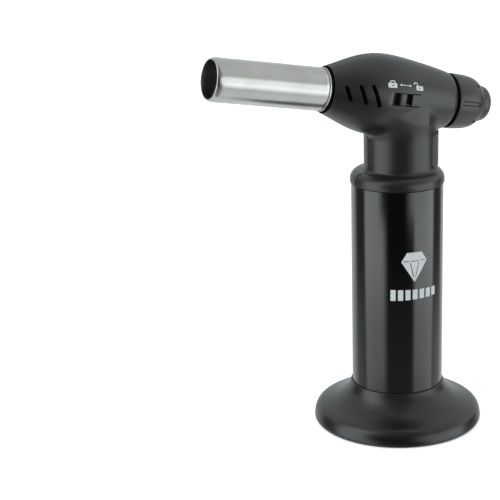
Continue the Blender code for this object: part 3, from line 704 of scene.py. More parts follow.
def largest_patch(bm):
    """the biggest set of connected faces"""
    seen, best = set(), []
    for first in bm.faces:
        if first in seen:
            continue
        group, stack = [first], [first]
        seen.add(first)
        while stack:
            for edge in stack.pop().edges:
                for face in edge.link_faces:
                    if face not in seen:
                        seen.add(face)
                        stack.append(face)
                        group.append(face)
        if len(group) > len(best):
            best = group
    return set(best)


def half_moulding():
    """the near half (y < 0) as an open outer skin, trimmed at its rims, then given thickness
    and round rims"""
    net_verts, net_faces = surface_net((-59.0, -31.5, 160.2), (37.5, 1.5, 247.2), NET_STEP)
    bm = bmesh.new()
    made = [bm.verts.new(v) for v in relax(net_verts, net_faces)]
    for quad in net_faces:
        bm.faces.new([made[i] for i in quad])
    bm.normal_update()
    for pick, point, normal in RIMS:
        picked = [f for f in bm.faces if pick(f.calc_center_median())]
        edges = {e for f in picked for e in f.edges}
        corners = {v for f in picked for v in f.verts}
        bmesh.ops.bisect_plane(bm, geom=list(corners) + list(edges) + picked, dist=1e-4,
                               plane_co=tuple(point), plane_no=tuple(normal), clear_outer=True)
    # drop any scrap that isn't on the main skin
    bmesh.ops.remove_doubles(bm, verts=bm.verts, dist=1e-3)
    keep = largest_patch(bm)
    bmesh.ops.delete(bm, geom=[f for f in bm.faces if f not in keep], context='FACES')
    bm.verts.index_update()

    outer = np.array([v.co[:] for v in bm.verts])
    slopes = gradient(outer)
    normals = slopes / np.linalg.norm(slopes, axis=1)[:, None]
    thick = np.interp(head_coords(*outer.T)[0], [40.0, 50.0], [WALL, FRONT_WALL])
    thick = np.where(outer[:, 2] < 190, WALL, thick)
    inner = outer - normals * thick[:, None]
    faces = [tuple(v.index for v in f.verts) for f in bm.faces]
    count = len(outer)
    faces += [tuple(i + count for i in reversed(f)) for f in faces]

    # round rim: each boundary edge carries a half-round strip from outer to inner skin
    arc = [(outer, -1.0, k) for k in range(1, RIM_STEPS + 1)]
    arc += [(inner, 1.0, RIM_STEPS - k) for k in range(1, RIM_STEPS)]
    strips = {}
    extra = []
    for edge in [e for e in bm.edges if len(e.link_faces) == 1]:
        for i in (v.index for v in edge.verts):
            if i in strips:
                continue
            outward = sum((normal for _, point, normal in RIMS
                           if abs((outer[i] - point) @ normal) < 2e-3), np.zeros(3))
            depth = min(EDGE * 0.8, 0.4 * thick[i])
            strips[i] = [i]
            for skin, side, k in arc:
                turn = (pi / 2) * k / RIM_STEPS
                strips[i].append(2 * count + len(extra))
                extra.append(skin[i] + outward * EDGE * sin(turn)
                             + side * normals[i] * depth * (1 - cos(turn)))
            strips[i].append(i + count)
        start, end = (strips[v.index] for v in edge.verts)
        for k in range(len(start) - 1):
            faces.append((start[k], end[k], end[k + 1], start[k + 1]))
    bm.free()
    return np.concatenate([outer, inner, np.array(extra)]), faces


# air slots: the (up, forward) centres of their round ends
VENTS = [((4.3, 46.0), (-2.3, 43.1)), ((5.8, 37.8), (-3.1, 34.0)), ((7.1, 30.5), (-3.8, 25.7))]
VENT_W = 2.6
# case screws as (x, z): three set out as (forward, up) on the head, two on the neck
CASE_SCREWS = [tuple(head_point(forward, up)[[0, 2]])
               for forward, up in ((30.0, 16.8), (-10.0, 15.5), (36.0, -14.5))]
CASE_SCREWS += [(-12.0, 173.5), (9.0, 176.0)]
WELL_R = 3.06

# window at the back of the neck: half its arc width, its foot and its top
WINDOW_ARC, WINDOW_Z0, WINDOW_Z1 = radians(65.5) * NECK_R, 172.3, 195.0
WINDOW_ROUND = 3.0

# lock window: straight at its rear, a long ramp at its front
LOCK_UP = (-2.9, 5.2)
RAMP_FRONT, RAMP_REAR = (20.2, -25.25), (16.9, -24.2)
# (forward, y) section
LOCK_SECTION = [(3.5, -32.0), (28.2, -32.0), (28.2, -27.6), RAMP_FRONT, RAMP_REAR,
                (16.7, -22.3), (16.7, -14.0), (3.5, -14.0)]
SLIT_W = 0.62


def neck_map(radius):
    """x is arc length from the back centre line toward -Y, y is height"""
    return lambda x, y: (NECK_X + radius * cos(x / NECK_R), -radius * sin(x / NECK_R), y)


def window_tool():
    bm = flat_fill([round_box(-WINDOW_ARC, WINDOW_ARC, WINDOW_Z0, WINDOW_Z1, WINDOW_ROUND)])
    slice_fill(bm, 0, -WINDOW_ARC + 1.5, WINDOW_ARC, 1.5)
    return bent_solid(bm, neck_map(20.0), neck_map(25.2))


def lock_tool():
    verts = [head_point(forward, up, y) for up in LOCK_UP for forward, y in LOCK_SECTION]
    return verts, prism_faces(len(LOCK_SECTION))


def slit_tool(up0, up1):
    """slit beside the lock window"""
    return side_prism(round_box(up0, up1, -2.6, 3.7, 0.25, steps=3), -34, -14)


def well_tool(x, z):
    count = 40
    verts = [(px, y, pz) for y in (6.0, 34.0) for px, pz in circle(WELL_R - 0.01, count, x, z)]
    return verts, prism_faces(count)


def vent_tools(y0, y1):
    return [side_prism(stadium(start, end, VENT_W), y0, y1) for start, end in VENTS]


def head_halves():
    verts, faces = half_moulding()
    near = make("head_half_near", verts, faces, PLASTIC, body=None, sharp=None)
    far = make("head_half_far", verts * np.array([1, -1, 1]), [tuple(reversed(f)) for f in faces],
               PLASTIC, body=None, sharp=None)
    slits = [slit_tool(LOCK_UP[1] - SLIT_W, LOCK_UP[1] + 0.02),
             slit_tool(LOCK_UP[0] - 0.02, LOCK_UP[0] + SLIT_W)]
    wells = [well_tool(x, z) for x, z in CASE_SCREWS]
    for ob, parts in ((near, vent_tools(-34, -6)), (near, [window_tool()]),
                      (near, [lock_tool()]), (near, slits),
                      (far, vent_tools(6, 34)), (far, [window_tool()]), (far, wells)):
        cut(ob, parts)
        shade(ob.data, 38.0)
    # the facing edges of the two halves get the near-black painted-shade material, so that the
    # parting line reads as a shadowed gap
    for ob in (near, far):
        ob.data.materials.append(SHADE_BLACK)
        for face in ob.data.polygons:
            if max(abs(ob.data.vertices[i].co.y) for i in face.vertices) < (GAP + 0.05) * MM:
                face.material_index = 1
    # the ramp in front of the lock window is painted pale, as a painted highlight
    near.data.materials.append(RAMP_PAINTED_SHEEN)
    ramp_normal = np.array([RAMP_REAR[1] - RAMP_FRONT[1], RAMP_FRONT[0] - RAMP_REAR[0]])
    ramp_normal /= np.linalg.norm(ramp_normal)
    for face in near.data.polygons:
        centre = np.array(face.center) / MM - HEAD_CENTRE
        normal = np.array(face.normal)
        facing = -(normal @ FORWARD) * ramp_normal[0] - normal[1] * ramp_normal[1]
        if (16.7 < centre @ FORWARD < 21.2
                and LOCK_UP[0] - 0.1 < centre @ UPWARD < LOCK_UP[1] + 0.1
                and facing > 0.9985 and abs(normal @ UPWARD) < 0.03):
            face.material_index = 2
    attach(near, BODY, "head_shell_left")
    attach(far, BODY, "head_shell_right")


def wall_y(x, z):
    """the y that lies 1 mm deep in the far half, found by halving"""
    low, high = 0.0, 32.0
    for _ in range(28):
        middle = (low + high) / 2
        if float(outer_field(np.array(x), np.array(middle), np.array(z))) < -1.0:
            low = middle
        else:
            high = middle
    return low


def screw_well(name, x, z):
    """tube from the far wall to a pierced seat"""
    count = 40
    # (radius, y) rings; without a y the ring ends inside the wall
    rings = [(WELL_R, None), (4.3, None), (4.3, 7.6), (1.5, 7.6), (1.5, 9.0), (WELL_R, 9.0)]
    verts, faces = [], []
    for i, (radius, y) in enumerate(rings):
        verts += [(px, wall_y(px, pz) if y is None else y, pz)
                  for px, pz in circle(radius, count, x, z)]
        faces += ring_quads(i * count, (i + 1) % len(rings) * count, count)
    make(name, verts, faces, PLASTIC, slot="black_plastic")


def rear_panel():
    """panel of the neck, set in its window with a small gap round it, its face a little proud of
    the neck
    """
    gap = 0.75
    outline = round_box(-WINDOW_ARC + gap, WINDOW_ARC - gap, WINDOW_Z0 + gap, WINDOW_Z1 - gap, 2.4)
    wrapped("rear_neck_panel", [outline], neck_map(20.9), neck_map(24.1), PANEL, step=1.0,
            slot="black_plastic", replaced="neck_back_insert")


def window_rim():
    """rounded bead round the panel window"""
    sides, bead_r = 12, 0.62
    loop = round_box(-WINDOW_ARC, WINDOW_ARC, WINDOW_Z0, WINDOW_Z1, WINDOW_ROUND, steps=8)
    dense = []
    for start, end in zip(loop, loop[1:] + loop[:1]):
        run_x, run_y = end[0] - start[0], end[1] - start[1]
        parts = max(1, int(sqrt(run_x ** 2 + run_y ** 2) / 1.2))
        dense += [(start[0] + run_x * k / parts, start[1] + run_y * k / parts)
                  for k in range(parts)]
    centres = np.array([neck_map(23.12)(x, y) for x, y in dense])
    along = np.roll(centres, -1, 0) - np.roll(centres, 1, 0)
    along /= np.linalg.norm(along, axis=1)[:, None]
    outward = np.array([(cos(x / NECK_R), -sin(x / NECK_R), 0.0) for x, y in dense])
    across = np.cross(along, outward)
    across /= np.linalg.norm(across, axis=1)[:, None]
    count = len(centres)
    verts, faces = [], []
    for i in range(count):
        verts += [centres[i] + bead_r * (cos(turn) * outward[i] + sin(turn) * across[i])
                  for turn in np.arange(sides) * pi / 6]
        faces += ring_quads(i * sides, (i + 1) % count * sides, sides)
    make("rear_window_rim", verts, faces, PLASTIC, slot="black_plastic", sharp=60.0)


head_halves()
for i, (x, z) in enumerate(CASE_SCREWS):
    screw_well("screw_well_%d" % (i + 1), x, z)
rear_panel()
window_rim()

# ------------------------------------------------------------------ screws with cross recesses


def screw(name, place, head_r, under, rim, crown, shank_r, tip, replaced):
    """heights of the head's underside, rim and crown, and of the shank's tip, along local Z"""
    profile = [(0.0, tip), (shank_r * 0.5, tip), (shank_r, tip + shank_r * 0.8),
               (shank_r, under), (head_r, under)]
    steps = 8
    for i in range(steps):
        turn = (pi / 2) * i / steps
        profile.append((head_r * cos(turn) * 0.98 + 0.02 * head_r,
                        rim + (crown - rim) * sin(turn)))
    profile += [(0.12 * head_r, crown), (0.0, crown)]
    ob = lathe(name, profile, SCREW, seg=48, body=None, place=place)
    width, length, depth = head_r * 0.17, head_r * 0.62, (crown - under) * 0.75
    for half_x, half_y in ((length, width), (width, length)):
        verts = [(side_x * half_x * taper, side_y * half_y * taper, z)
                 for z, taper in ((crown + 0.5, 1.05), (crown - depth, 0.55))
                 for side_x, side_y in ((-1, -1), (1, -1), (1, 1), (-1, 1))]
        cut(ob, [(verts, prism_faces(4))], place)
    shade(ob.data, 30.0)
    attach(ob, BODY, replaced)


for i, (x, z) in enumerate(CASE_SCREWS):
    place = TANK_FRAME @ Matrix.Translation((x * MM, 0, z * MM)) @ Matrix.Rotation(-pi / 2, 4, 'X')
    screw("case_screw_%d" % (i + 1), place, head_r=2.7, under=9.25, rim=10.1, crown=11.2,
          shank_r=1.1, tip=-7.8, replaced="shell_screw_%d" % (i + 1))
for i, turn in enumerate(FOOT_SCREW_ANGLES):
    spot = (FOOT_SCREW_R * cos(turn) * MM, FOOT_SCREW_R * sin(turn) * MM, 0)
    place = TANK_FRAME @ Matrix.Translation(spot) @ Matrix.Rotation(pi, 4, 'X')
    screw("foot_screw_%d" % (i + 1), place, head_r=3.0, under=-20.7, rim=-19.9, crown=-18.7,
          shank_r=1.5, tip=-34.5, replaced="base_screw_%d" % (i + 1))

# ------------------------------------------------------------------ foot and sleeve
# (radius, height), from the top of the foot down its outside
FOOT_OUTSIDE = [(30.35, 27.0), (31.4, 24.6), (32.9, 22.0), (35.1, 19.6), (38.6, 16.6),
                (43.9, 13.6), (48.7, 11.75), (51.95, 10.15), (53.75, 7.9), (54.6, 5.2),
                (54.9, 2.9), (54.7, 1.2), (54.05, 0.2)]
# (radius, height, rounding), up the underside, round the seat and into the tank socket
FOOT_INSIDE = [(49.6, 0.0, 0.5), (50.0, 5.2, 1.5), (47.0, 8.6, 2.0), (36.0, 13.6, 3.0),
               (30.6, 17.8, 2.0), (29.0, 21.0, 0.8), (8.5, 21.0, 0.5), (8.5, 24.5, 0.3),
               (29.7, 24.5, 0.0), (29.7, 27.2, 0.2)]
# (radius, height) outline of a stiffening rib
RIB_SECTION = [(31.2, 17.2), (35.9, 13.5), (46.5, 8.7), (49.3, 5.9), (48.8, 4.2), (44.0, 5.4),
               (34.0, 10.5), (30.4, 15.0)]
RIB_HALF = 0.75


def foot_moulding():
    profile = [(53.6, 0.0)] + fillet(FOOT_INSIDE, steps=4, closed=False)
    profile += [(29.95, 27.2), (30.2, 27.15)] + through(FOOT_OUTSIDE, 72)
    foot = lathe("foot_moulding", profile, FOOT, seg=192, body=None, place=TANK_FRAME, sharp=40.0)
    holes = []
    for turn in FOOT_SCREW_ANGLES:
        count = 28
        outline = circle(1.9, count, FOOT_SCREW_R * cos(turn), FOOT_SCREW_R * sin(turn))
        holes.append(([(x, y, z) for z in (18, 26) for x, y in outline], prism_faces(count)))
    cut(foot, holes)
    shade(foot.data, 40.0)
    attach(foot, BODY, "base_stand")


def foot_rib(name, turn):
    """stiffening rib under the foot"""
    verts = [(radius * cos(turn) - side * sin(turn), radius * sin(turn) + side * cos(turn), z)
             for side in (-RIB_HALF, RIB_HALF) for radius, z in RIB_SECTION]
    make(name, verts, prism_faces(len(RIB_SECTION)), FOOT, slot="black_plastic", sharp=30.0)


foot_moulding()
for i in range(6):
    foot_rib("foot_rib_%d" % (i + 1), pi / 6 + 2 * pi * i / 6)
lathe("tank_sleeve",
      fillet([(28.3, 161.9, 0.25), (SLEEVE_R, 161.9, 0.45), (SLEEVE_R, 24.8, 0.3),
              (28.3, 24.8, 0.2)], steps=5),
      GLOSS, seg=192, place=TANK_FRAME, slot="black_sleeve", replaced="body_tube")

# ------------------------------------------------------------------ burner
BARREL_R, BORE_R = 13.4, 12.5
NOSE_START, NOSE_LENGTH, NOSE_DEPTH = 126.0, 4.35, 1.45
LIP_R = 0.32
# (radius, forward, rounding)
FLANGE = [(12.0, 62.0, 0.1), (12.0, 55.55, 0.1), (13.75, 55.55, 0.22), (13.75, 54.45, 0.22),
          (12.0, 54.45, 0.1), (12.0, 44.0, 0.2), (5.8, 44.0, 0.1), (5.8, 45.4, 0.1),
          (11.0, 45.4, 0.3), (11.0, 62.0, 0.1)]
INSULATOR = [(13.6, 53.9, 0.2), (13.6, 46.0, 0.3), (14.8, 45.0, 0.2), (14.8, 43.0, 0.2),
             (12.35, 43.0, 0.2), (12.35, 53.9, 0.2)]


def burner_barrel():
    """tube that curves in at the nose and rolls back over a small lip"""
    profile = [(BORE_R, 55.8), (13.3, 55.8), (BARREL_R, 55.95)]
    profile += [(BARREL_R, z) for z in np.linspace(58, 125.2, 18)]
    for i in range(1, 13):
        turn = radians(90.0) * i / 12
        profile.append((BARREL_R - NOSE_DEPTH * (1 - cos(turn)),
                        NOSE_START + NOSE_LENGTH * sin(turn)))
    for i in range(1, 9):
        turn = radians(200.0) * i / 8
        profile.append((BARREL_R - NOSE_DEPTH - LIP_R * sin(turn),
                        NOSE_START + NOSE_LENGTH - LIP_R * (1 - cos(turn))))
    profile += [(12.2, 129.0), (12.45, 127.8), (BORE_R, 126.5)]
    profile += [(BORE_R, z) for z in np.linspace(122, 60, 8)]
    lathe("burner_barrel", profile, STEEL, seg=160, slot="stainless", replaced="burner_tube",
          sharp=50)


burner_barrel()
lathe("burner_flange", fillet(FLANGE, steps=4), STEEL, slot="stainless", replaced="burner_collar")
# the insulator is black rubber; it takes the glossless near-black painted-shade material, which
# stands for the shadow in the gap under the flange
lathe("insulator_ring", fillet(INSULATOR, steps=4), SHADE_BLACK, slot="black_rubber",
      replaced="heat_insulator")

# ------------------------------------------------------------------ flame ring and button
# (radius, forward), from the front of each piece to its rear
RING_OUTSIDE = [(17.6, -37.0), (17.66, -38.7), (17.55, -43.0), (17.1, -47.8), (16.5, -51.0),
                (15.6, -53.5), (14.4, -55.5), (13.3, -57.0), (12.6, -57.9)]
BUTTON_OUTSIDE = [(11.5, -52.0), (11.55, -60.0), (11.3, -61.9), (10.55, -63.6), (9.2, -64.9),
                  (7.1, -65.9), (4.6, -66.4), (2.2, -66.62), (0.3, -66.66)]


def flutes(radius, height, turn):
    """eight shallow round-ended grooves cut along the ring"""
    angle = (turn - radians(4) + pi / 8) % (pi / 4) - pi / 8
    across = angle * 17.4 / 1.25
    ends = np.clip((-37.9 - height) / 0.8, 0, 1) * np.clip((height + 53.0) / 1.0, 0, 1)
    width = 1.0 / (1.0 + np.abs(across) ** 9)
    depth = 1.15 * width * ends * ends * (3 - 2 * ends)
    return radius - np.where(radius > 14.5, depth, 0.0)


def flame_ring():
    profile = [(13.8, -16.0), (13.8, -36.1), (16.9, -36.1), (17.3, -36.3), (17.52, -36.6)]
    profile += through(RING_OUTSIDE, 60)
    profile += [(12.2, -58.12), (11.95, -58.1), (11.8, -57.9), (11.8, -45.4), (12.8, -45.4),
                (12.8, -16.0)]
    ring = lathe("flame_ring", profile, RING, seg=480, shape=flutes, body="flame_knob",
                 slot="black_plastic", replaced="flame_knob", sharp=48)
    # its front face is painted near-black, a painted shadow of the gap behind the head
    ring.data.materials.append(SHADE_BLACK)
    for face in ring.data.polygons:
        x, y, z = face.center
        if z / MM > -36.25 and sqrt(x ** 2 + y ** 2) / MM > 13.4:
            face.material_index = 1


def push_button():
    profile = [(0.0, -22.4), (2.3, -22.4), (2.5, -22.7), (2.5, -42.6), (12.4, -42.6),
               (12.4, -44.6), (11.4, -44.6)]
    profile += through(BUTTON_OUTSIDE, 44) + [(0.0, -66.66)]
    lathe("push_button", profile, RING, seg=160, body="ignition_button", slot="black_plastic",
          replaced="ignition_button", sharp=40)


def head_block(name, low, high, bevel, body):
    """box with bevelled edges between two (up, y, forward) corners on the head"""
    bm = bmesh.new()
    for full in range(3):
        for sides in np.ndindex(2, 2, 2):
            inset = np.where(sides, -bevel, bevel) * (np.arange(3) != full)
            up, y, forward = np.where(sides, high, low) + inset
            bm.verts.new(tuple(head_point(forward, up, y)))
    bmesh.ops.convex_hull(bm, input=bm.verts[:])
    bmesh.ops.dissolve_limit(bm, angle_limit=radians(1), verts=bm.verts[:], edges=bm.edges[:])
    bm.verts.index_update()
    verts = [v.co[:] for v in bm.verts]
    faces = [tuple(v.index for v in f.verts) for f in bm.faces]
    bm.free()
    make(name, verts, faces, RING, body=body, slot="black_plastic", sharp=30.0)


flame_ring()
push_button()
# prong of the button, inside the head
head_block("button_prong", (-7.0, -9.3, -42.7), (-3.0, -7.1, -9.0), 0.25, "ignition_button")

# ------------------------------------------------------------------ lock slide
# (forward, y, rounding)
SLIDE_SECTION = [(7.0, -19.4, 0.05), (13.7, -19.4, 0.05), (13.7, -20.32, 0.02),
                 (12.55, -20.75, 0.4), (12.2, -25.75, 0.75), (8.35, -25.75, 0.75),
                 (7.9, -20.75, 0.4), (7.0, -20.32, 0.02)]
# (up, how far the outer face is drawn in)
SLIDE_STATIONS = [(-2.55, 0.35), (-2.35, 0.12), (-2.1, 0.0), (4.4, 0.0), (4.65, 0.12), (4.85, 0.35)]


def lock_slide():
    section = fillet(SLIDE_SECTION, steps=5)
    verts = [head_point(forward, up, y + (inset if y < -23 else 0.0))
             for up, inset in SLIDE_STATIONS for forward, y in section]
    count = len(section)
    last = (len(SLIDE_STATIONS) - 1) * count
    faces = []
    for first in range(0, last, count):
        faces += ring_quads(first, first + count, count)
    faces += [tuple(range(count)), tuple(range(last + count - 1, last - 1, -1))]
    make("lock_slide", verts, faces, RING, body="lock_switch", slot="black_plastic",
         replaced="lock_switch", sharp=35)


lock_slide()
head_block("lock_slide_plate", (-4.2, -20.3, 0.0), (6.2, -18.8, 19.4), 0.15, "lock_switch")
head_block("lock_slide_latch", (-1.5, -19.3, 0.4), (1.0, -11.0, 2.5), 0.15, "lock_switch")


# ------------------------------------------------------------------ painted shade: near-black plates behind the air slots


def slot_shade_plate(name, side):
    """curved near-black plate behind the air slots, painted shade of the head's inside; side is -1
    near, 1 far
    """
    rows, columns = 17, 13
    verts = []
    for depth in (3.1, 3.7):
        for forward in np.linspace(23.6, 47.6, rows):
            radius = float(head_radius(forward)) - depth
            for up in np.linspace(-6.4, 9.6, columns):
                verts.append(head_point(forward, up, side * sqrt(radius * radius - up * up)))
    layer = rows * columns
    faces = []
    for start in (0, layer):
        for i in range(rows - 1):
            for j in range(columns - 1):
                k = start + i * columns + j
                faces.append((k, k + 1, k + columns + 1, k + columns))
    rim = list(range(columns)) + [i * columns + columns - 1 for i in range(1, rows)]
    rim += [(rows - 1) * columns + j for j in range(columns - 2, -1, -1)]
    rim += [i * columns for i in range(rows - 2, 0, -1)]
    for i, j in zip(rim, rim[1:] + rim[:1]):
        faces.append((i, j, j + layer, i + layer))
    make(name, verts, faces, SHADE_BLACK, slot="black_plastic", sharp=40.0)


slot_shade_plate("slot_shade_plate_near", -1.0)
slot_shade_plate("slot_shade_plate_far", 1.0)

# ------------------------------------------------------------------ printed marks
INK_UNDER, INK_TOP = 0.01, 0.06      # heights of the ink over the surface
HEAD_ARC_R = 24.0                    # radius at which arcs on the head are measured
TANK_ARC_R = 29.3                    # the same for the sleeve
MARK_Y = radians(23.0) * HEAD_ARC_R
LOCKED_X, OPEN_X = 18.6, -1.4
ARROW_FRONT, ARROW_REAR = 13.7, 4.7
ARROW_TIP, ARROW_HALF, ARROW_STEM = 1.6, 0.8, 0.2    # tip length, half widths of tip and stem


def head_map(lift):
    """x is distance along the head, y is arc length up from the -Y centre line"""
    def point(x, y):
        radius = float(head_radius(x)) + lift
        return head_point(x, radius * sin(y / HEAD_ARC_R), -radius * cos(y / HEAD_ARC_R))
    return point


def tank_map(lift):
    """x is arc length toward +X from the -Y centre line, y is height"""
    radius = SLEEVE_R + lift
    return lambda x, y: (radius * sin(x / TANK_ARC_R), -radius * cos(x / TANK_ARC_R), y)


def mark(name, loops, surface, step):
    wrapped(name, loops, surface(INK_UNDER), surface(INK_TOP), INK, step=step)


def padlock_body(name, x, half):
    mark(name, [round_box(x - half, x + half, MARK_Y - 2.1, MARK_Y + 0.75, 0.4),
                circle(0.5, 14, x, MARK_Y - 0.65)], head_map, step=1.0)


def half_arc(x, y, radius_x, radius_y, start, end):
    return [(x + radius_x * cos(turn), y + radius_y * sin(turn))
            for turn in np.linspace(start, end, 16)]


def lock_marks():
    """closed padlock, double arrow, open padlock"""
    padlock_body("mark_lock_body", LOCKED_X, half=3.0)
    shackle = half_arc(LOCKED_X, MARK_Y + 0.75, 2.0, 1.7, 0, pi)
    shackle += half_arc(LOCKED_X, MARK_Y + 0.75, 1.3, 1.05, pi, 0)
    mark("mark_lock_shackle", [shackle], head_map, step=1.0)
    front, rear = ARROW_FRONT - ARROW_TIP, ARROW_REAR + ARROW_TIP
    arrow = [(ARROW_FRONT, MARK_Y), (front, MARK_Y + ARROW_HALF), (front, MARK_Y + ARROW_STEM),
             (rear, MARK_Y + ARROW_STEM), (rear, MARK_Y + ARROW_HALF), (ARROW_REAR, MARK_Y),
             (rear, MARK_Y - ARROW_HALF), (rear, MARK_Y - ARROW_STEM),
             (front, MARK_Y - ARROW_STEM), (front, MARK_Y - ARROW_HALF)]
    mark("mark_arrow", [arrow], head_map, step=1.0)
    padlock_body("mark_open_body", OPEN_X, half=2.7)
    swung = half_arc(OPEN_X + 2.95, MARK_Y + 1.15, 1.75, 1.55, 0, pi)
    swung += [(OPEN_X + 1.2, MARK_Y + 0.76), (OPEN_X + 1.88, MARK_Y + 0.76)]
    swung += half_arc(OPEN_X + 2.95, MARK_Y + 1.15, 1.07, 0.92, pi, 0)
    mark("mark_open_shackle", [swung], head_map, step=1.0)


def thin_line(start, end, width=0.5):
    """a narrow four-sided line between two points"""
    run_x, run_y = end[0] - start[0], end[1] - start[1]
    length = sqrt(run_x * run_x + run_y * run_y)
    x, y = -run_y / length * width / 2, run_x / length * width / 2
    return [(start[0] + x, start[1] + y), (end[0] + x, end[1] + y),
            (end[0] - x, end[1] - y), (start[0] - x, start[1] - y)]


def sleeve_marks():
    """a cut gem over a row of seven blocks"""
    centre, half = radians(-8.0) * TANK_ARC_R, 8.6
    # points are (share of the half width, height)
    gem = [(-0.58, 122.6), (0.58, 122.6), (1, 116.6), (0, 103.0), (-1, 116.6)]
    facets = [((-0.86, 116.9), (-0.40, 116.9)), ((-0.30, 116.9), (0.30, 116.9)),
              ((0.40, 116.9), (0.86, 116.9)),
              ((-0.33, 115.9), (-0.07, 106.2)), ((0.33, 115.9), (0.07, 106.2))]
    loops = [[(centre + half * share, y) for share, y in gem]]
    loops += [thin_line(*[(centre + half * share, y) for share, y in ends]) for ends in facets]
    mark("mark_gem", loops, tank_map, step=1.5)
    row = radians(-7.2) * TANK_ARC_R
    for i in range(7):
        x = row + (i - 3) * 4.72
        block = round_box(x - 1.65, x + 1.65, 90.9 + 0.12 * i, 98.2 - 0.12 * i, 0.3)
        mark("mark_block_%d" % (i + 1), [block], tank_map, step=1.5)


lock_marks()
sleeve_marks()

# ------------------------------------------------------------------ floor (metres from here on)
scene = bpy.context.scene


def pale_floor():
    bpy.ops.mesh.primitive_plane_add(size=6.0, location=(0, 0, -0.0002))
    floor = bpy.context.object
    floor.name = "floor"
    material, tree, shader = new_mat("pale_floor")
    cloud = noise(tree, coords(tree), scale=3.0, detail=2.0)
    seen = add_node(tree, "LightPath", {}).outputs["Is Camera Ray"]
    feed(tree, shader, {
        "Base Color": ramp(tree, cloud, [(0.3, (0.90, 0.90, 0.90)), (0.7, (0.93, 0.93, 0.93))]),
        "Roughness": 0.6,
        "Emission Color": (1, 1, 1, 1),
        "Emission Strength": calc(tree, 'MULTIPLY', seen, 0.52)})
    floor.data.materials.append(material)
    floor.visible_glossy = False


pale_floor()

# ------------------------------------------------------------------ world
world = bpy.data.worlds.new("studio")
scene.world = world
world.use_nodes = True
sky = world.node_tree
sky.nodes.clear()


def times(first, second):
    return calc(sky, 'MULTIPLY', first, second)


def smooth_step(value, low, high):
    inputs = {"From Min": low, "From Max": high, "Value": value}
    node = add_node(sky, "MapRange", inputs, interpolation_type='SMOOTHSTEP')
    return node.outputs["Result"]


def blend(base, top, by):
    """base + (top - base) * by"""
    return calc(sky, 'ADD', base, times(calc(sky, 'SUBTRACT', top, base), by))


direction = add_node(sky, "TexCoord", {}).outputs["Generated"]
axes = add_node(sky, "SeparateXYZ", {"Vector": direction}).outputs
# azimuth from -Y toward +X, in radians
AZIMUTH = calc(sky, 'ARCTAN2', axes["X"], times(axes["Y"], -1.0))


def between(low, high, soft_low, soft_high):
    """1 between two azimuths, in degrees, with a soft edge at each"""
    return times(smooth_step(AZIMUTH, radians(low - soft_low), radians(low + soft_low)),
                 smooth_step(AZIMUTH, radians(high + soft_high), radians(high - soft_high)))


def rising(none, full):
    """0 at one elevation, 1 at the other, in degrees; either may be the higher"""
    return smooth_step(axes["Z"], sin(radians(none)), sin(radians(full)))


def studio_glow():
    """tall panels left and right, a wide one behind; between them it is dark, less so
    toward the table"""
    dip = rising(none=-14, full=-24)
    low = rising(none=-9.6, full=-10.2)
    front = between(low=-62, high=14, soft_low=12, soft_high=12)
    rear = calc(sky, 'MAXIMUM', between(low=104, high=400, soft_low=9, soft_high=9),
                between(low=-400, high=-151, soft_low=9, soft_high=9))
    glow = blend(base=blend(base=0.02, top=0.13, by=dip),
                 top=blend(base=0.80, top=0.66, by=dip), by=rear)
    # the two gaps beside the rear panel
    glow = blend(base=glow, top=blend(base=0.12, top=0.38, by=dip),
                 by=between(low=-151, high=-119, soft_low=8, soft_high=5))
    glow = blend(base=glow, top=blend(base=0.14, top=0.48, by=dip),
                 by=between(low=70, high=104, soft_low=5, soft_high=8))
    # overhead and underfoot
    glow = blend(base=glow, top=blend(base=0.72, top=0.20, by=front), by=rising(none=14, full=32))
    glow = blend(base=glow, top=blend(base=0.92, top=0.26, by=front),
                 by=rising(none=-26, full=-40))
    # right panel, dimmed on its side toward the camera
    right = blend(base=between(low=0, high=70, soft_low=13, soft_high=5),
                  top=between(low=13.5, high=70.5, soft_low=5, soft_high=4), by=low)
    shadow = times(between(low=-30, high=44, soft_low=5, soft_high=8),
                   rising(none=-10.5, full=-4.5))
    soften = calc(sky, 'SUBTRACT', 1.0, times(shadow, 0.26))
    glow = blend(base=glow, top=times(blend(base=2.05, top=1.30, by=dip), soften),
                 by=times(right, times(rising(none=-34, full=-27), rising(none=24, full=17))))
    # patch over the outer edge of the right panel
    glow = blend(base=glow, top=1.0,
                 by=times(between(low=62, high=104, soft_low=8, soft_high=8),
                          times(rising(none=2, full=12), rising(none=52, full=38))))
    left = blend(base=between(low=-117, high=-72, soft_low=5, soft_high=9),
                 top=between(low=-117, high=-60, soft_low=4, soft_high=9), by=low)
    return blend(base=glow, top=blend(base=2.10, top=1.30, by=dip),
                 by=times(left, times(rising(none=-34, full=-27), rising(none=62, full=50))))


def background(colour, strength):
    inputs = {"Color": colour, "Strength": strength}
    return add_node(sky, "Background", inputs).outputs["Background"]


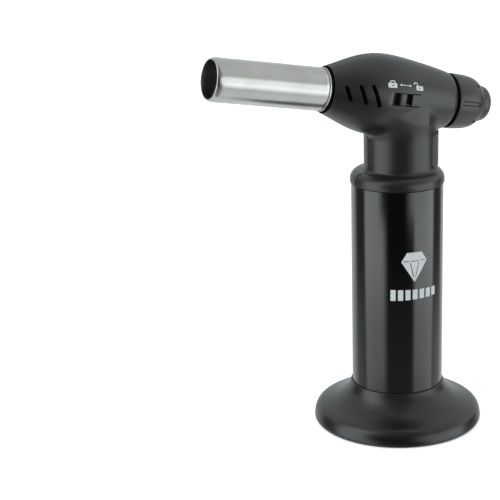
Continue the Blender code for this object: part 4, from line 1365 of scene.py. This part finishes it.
# the camera sees plain white, everything else sees the panels
lit = background(colour=(0.95, 1.0, 1.02, 1), strength=studio_glow())
plain = background(colour=(1, 1, 1, 1), strength=1.0)
seen = add_node(sky, "LightPath", {}).outputs["Is Camera Ray"]
either = add_node(sky, "MixShader", {"Fac": seen, 1: lit, 2: plain}).outputs["Shader"]
add_node(sky, "OutputWorld", {"Surface": either})

# ------------------------------------------------------------------ lights and camera


def softbox(name, azimuth, distance, height, size, aim):
    """square light; azimuth is degrees from -Y toward +X"""
    turn = radians(azimuth)
    light = bpy.data.lights.new(name, 'AREA')
    light.shape = 'RECTANGLE'
    light.size, light.size_y = size, size
    light.energy = pi * size * size
    ob = bpy.data.objects.new(name, light)
    ob.location = (distance * sin(turn), -distance * cos(turn), height)
    ob.rotation_euler = (Vector(aim) - ob.location).to_track_quat('-Z', 'Y').to_euler()
    ob.location += TANK_FRAME.translation
    scene.collection.objects.link(ob)
    ob.visible_camera = False
    ob.visible_glossy = False


softbox("soft_left", azimuth=-75, distance=1.1, height=0.75, size=0.9, aim=(0, 0, 0.12))
softbox("soft_top", azimuth=60, distance=0.35, height=1.3, size=1.0, aim=(0, 0, 0.15))

CAMERA_SPOT = Vector((-0.479360, -0.832065, 0.416756))
CAMERA_YAW, CAMERA_PITCH, CAMERA_ROLL = radians(24.24802), radians(17.33283), radians(-1.69321)


def place_camera():
    """yaw turns from +Y toward +X, pitch looks down"""
    camera = bpy.data.cameras.new("camera")
    camera.sensor_width = 36.0
    camera.lens = 111.22092
    ob = bpy.data.objects.new("camera", camera)
    ahead = Vector((sin(CAMERA_YAW) * cos(CAMERA_PITCH), cos(CAMERA_YAW) * cos(CAMERA_PITCH),
                    -sin(CAMERA_PITCH)))
    level = Vector((cos(CAMERA_YAW), -sin(CAMERA_YAW), 0))
    upright = level.cross(ahead)
    right = level * cos(CAMERA_ROLL) + upright * sin(CAMERA_ROLL)
    above = -level * sin(CAMERA_ROLL) + upright * cos(CAMERA_ROLL)
    rows = [(right[k], above[k], -ahead[k], CAMERA_SPOT[k]) for k in range(3)]
    ob.matrix_world = TANK_FRAME @ Matrix((*rows, (0, 0, 0, 1)))
    scene.collection.objects.link(ob)
    scene.camera = ob
    camera.clip_start, camera.clip_end = 0.01, 20.0


place_camera()
scene.view_settings.view_transform = 'Standard'
scene.view_settings.look = 'None'
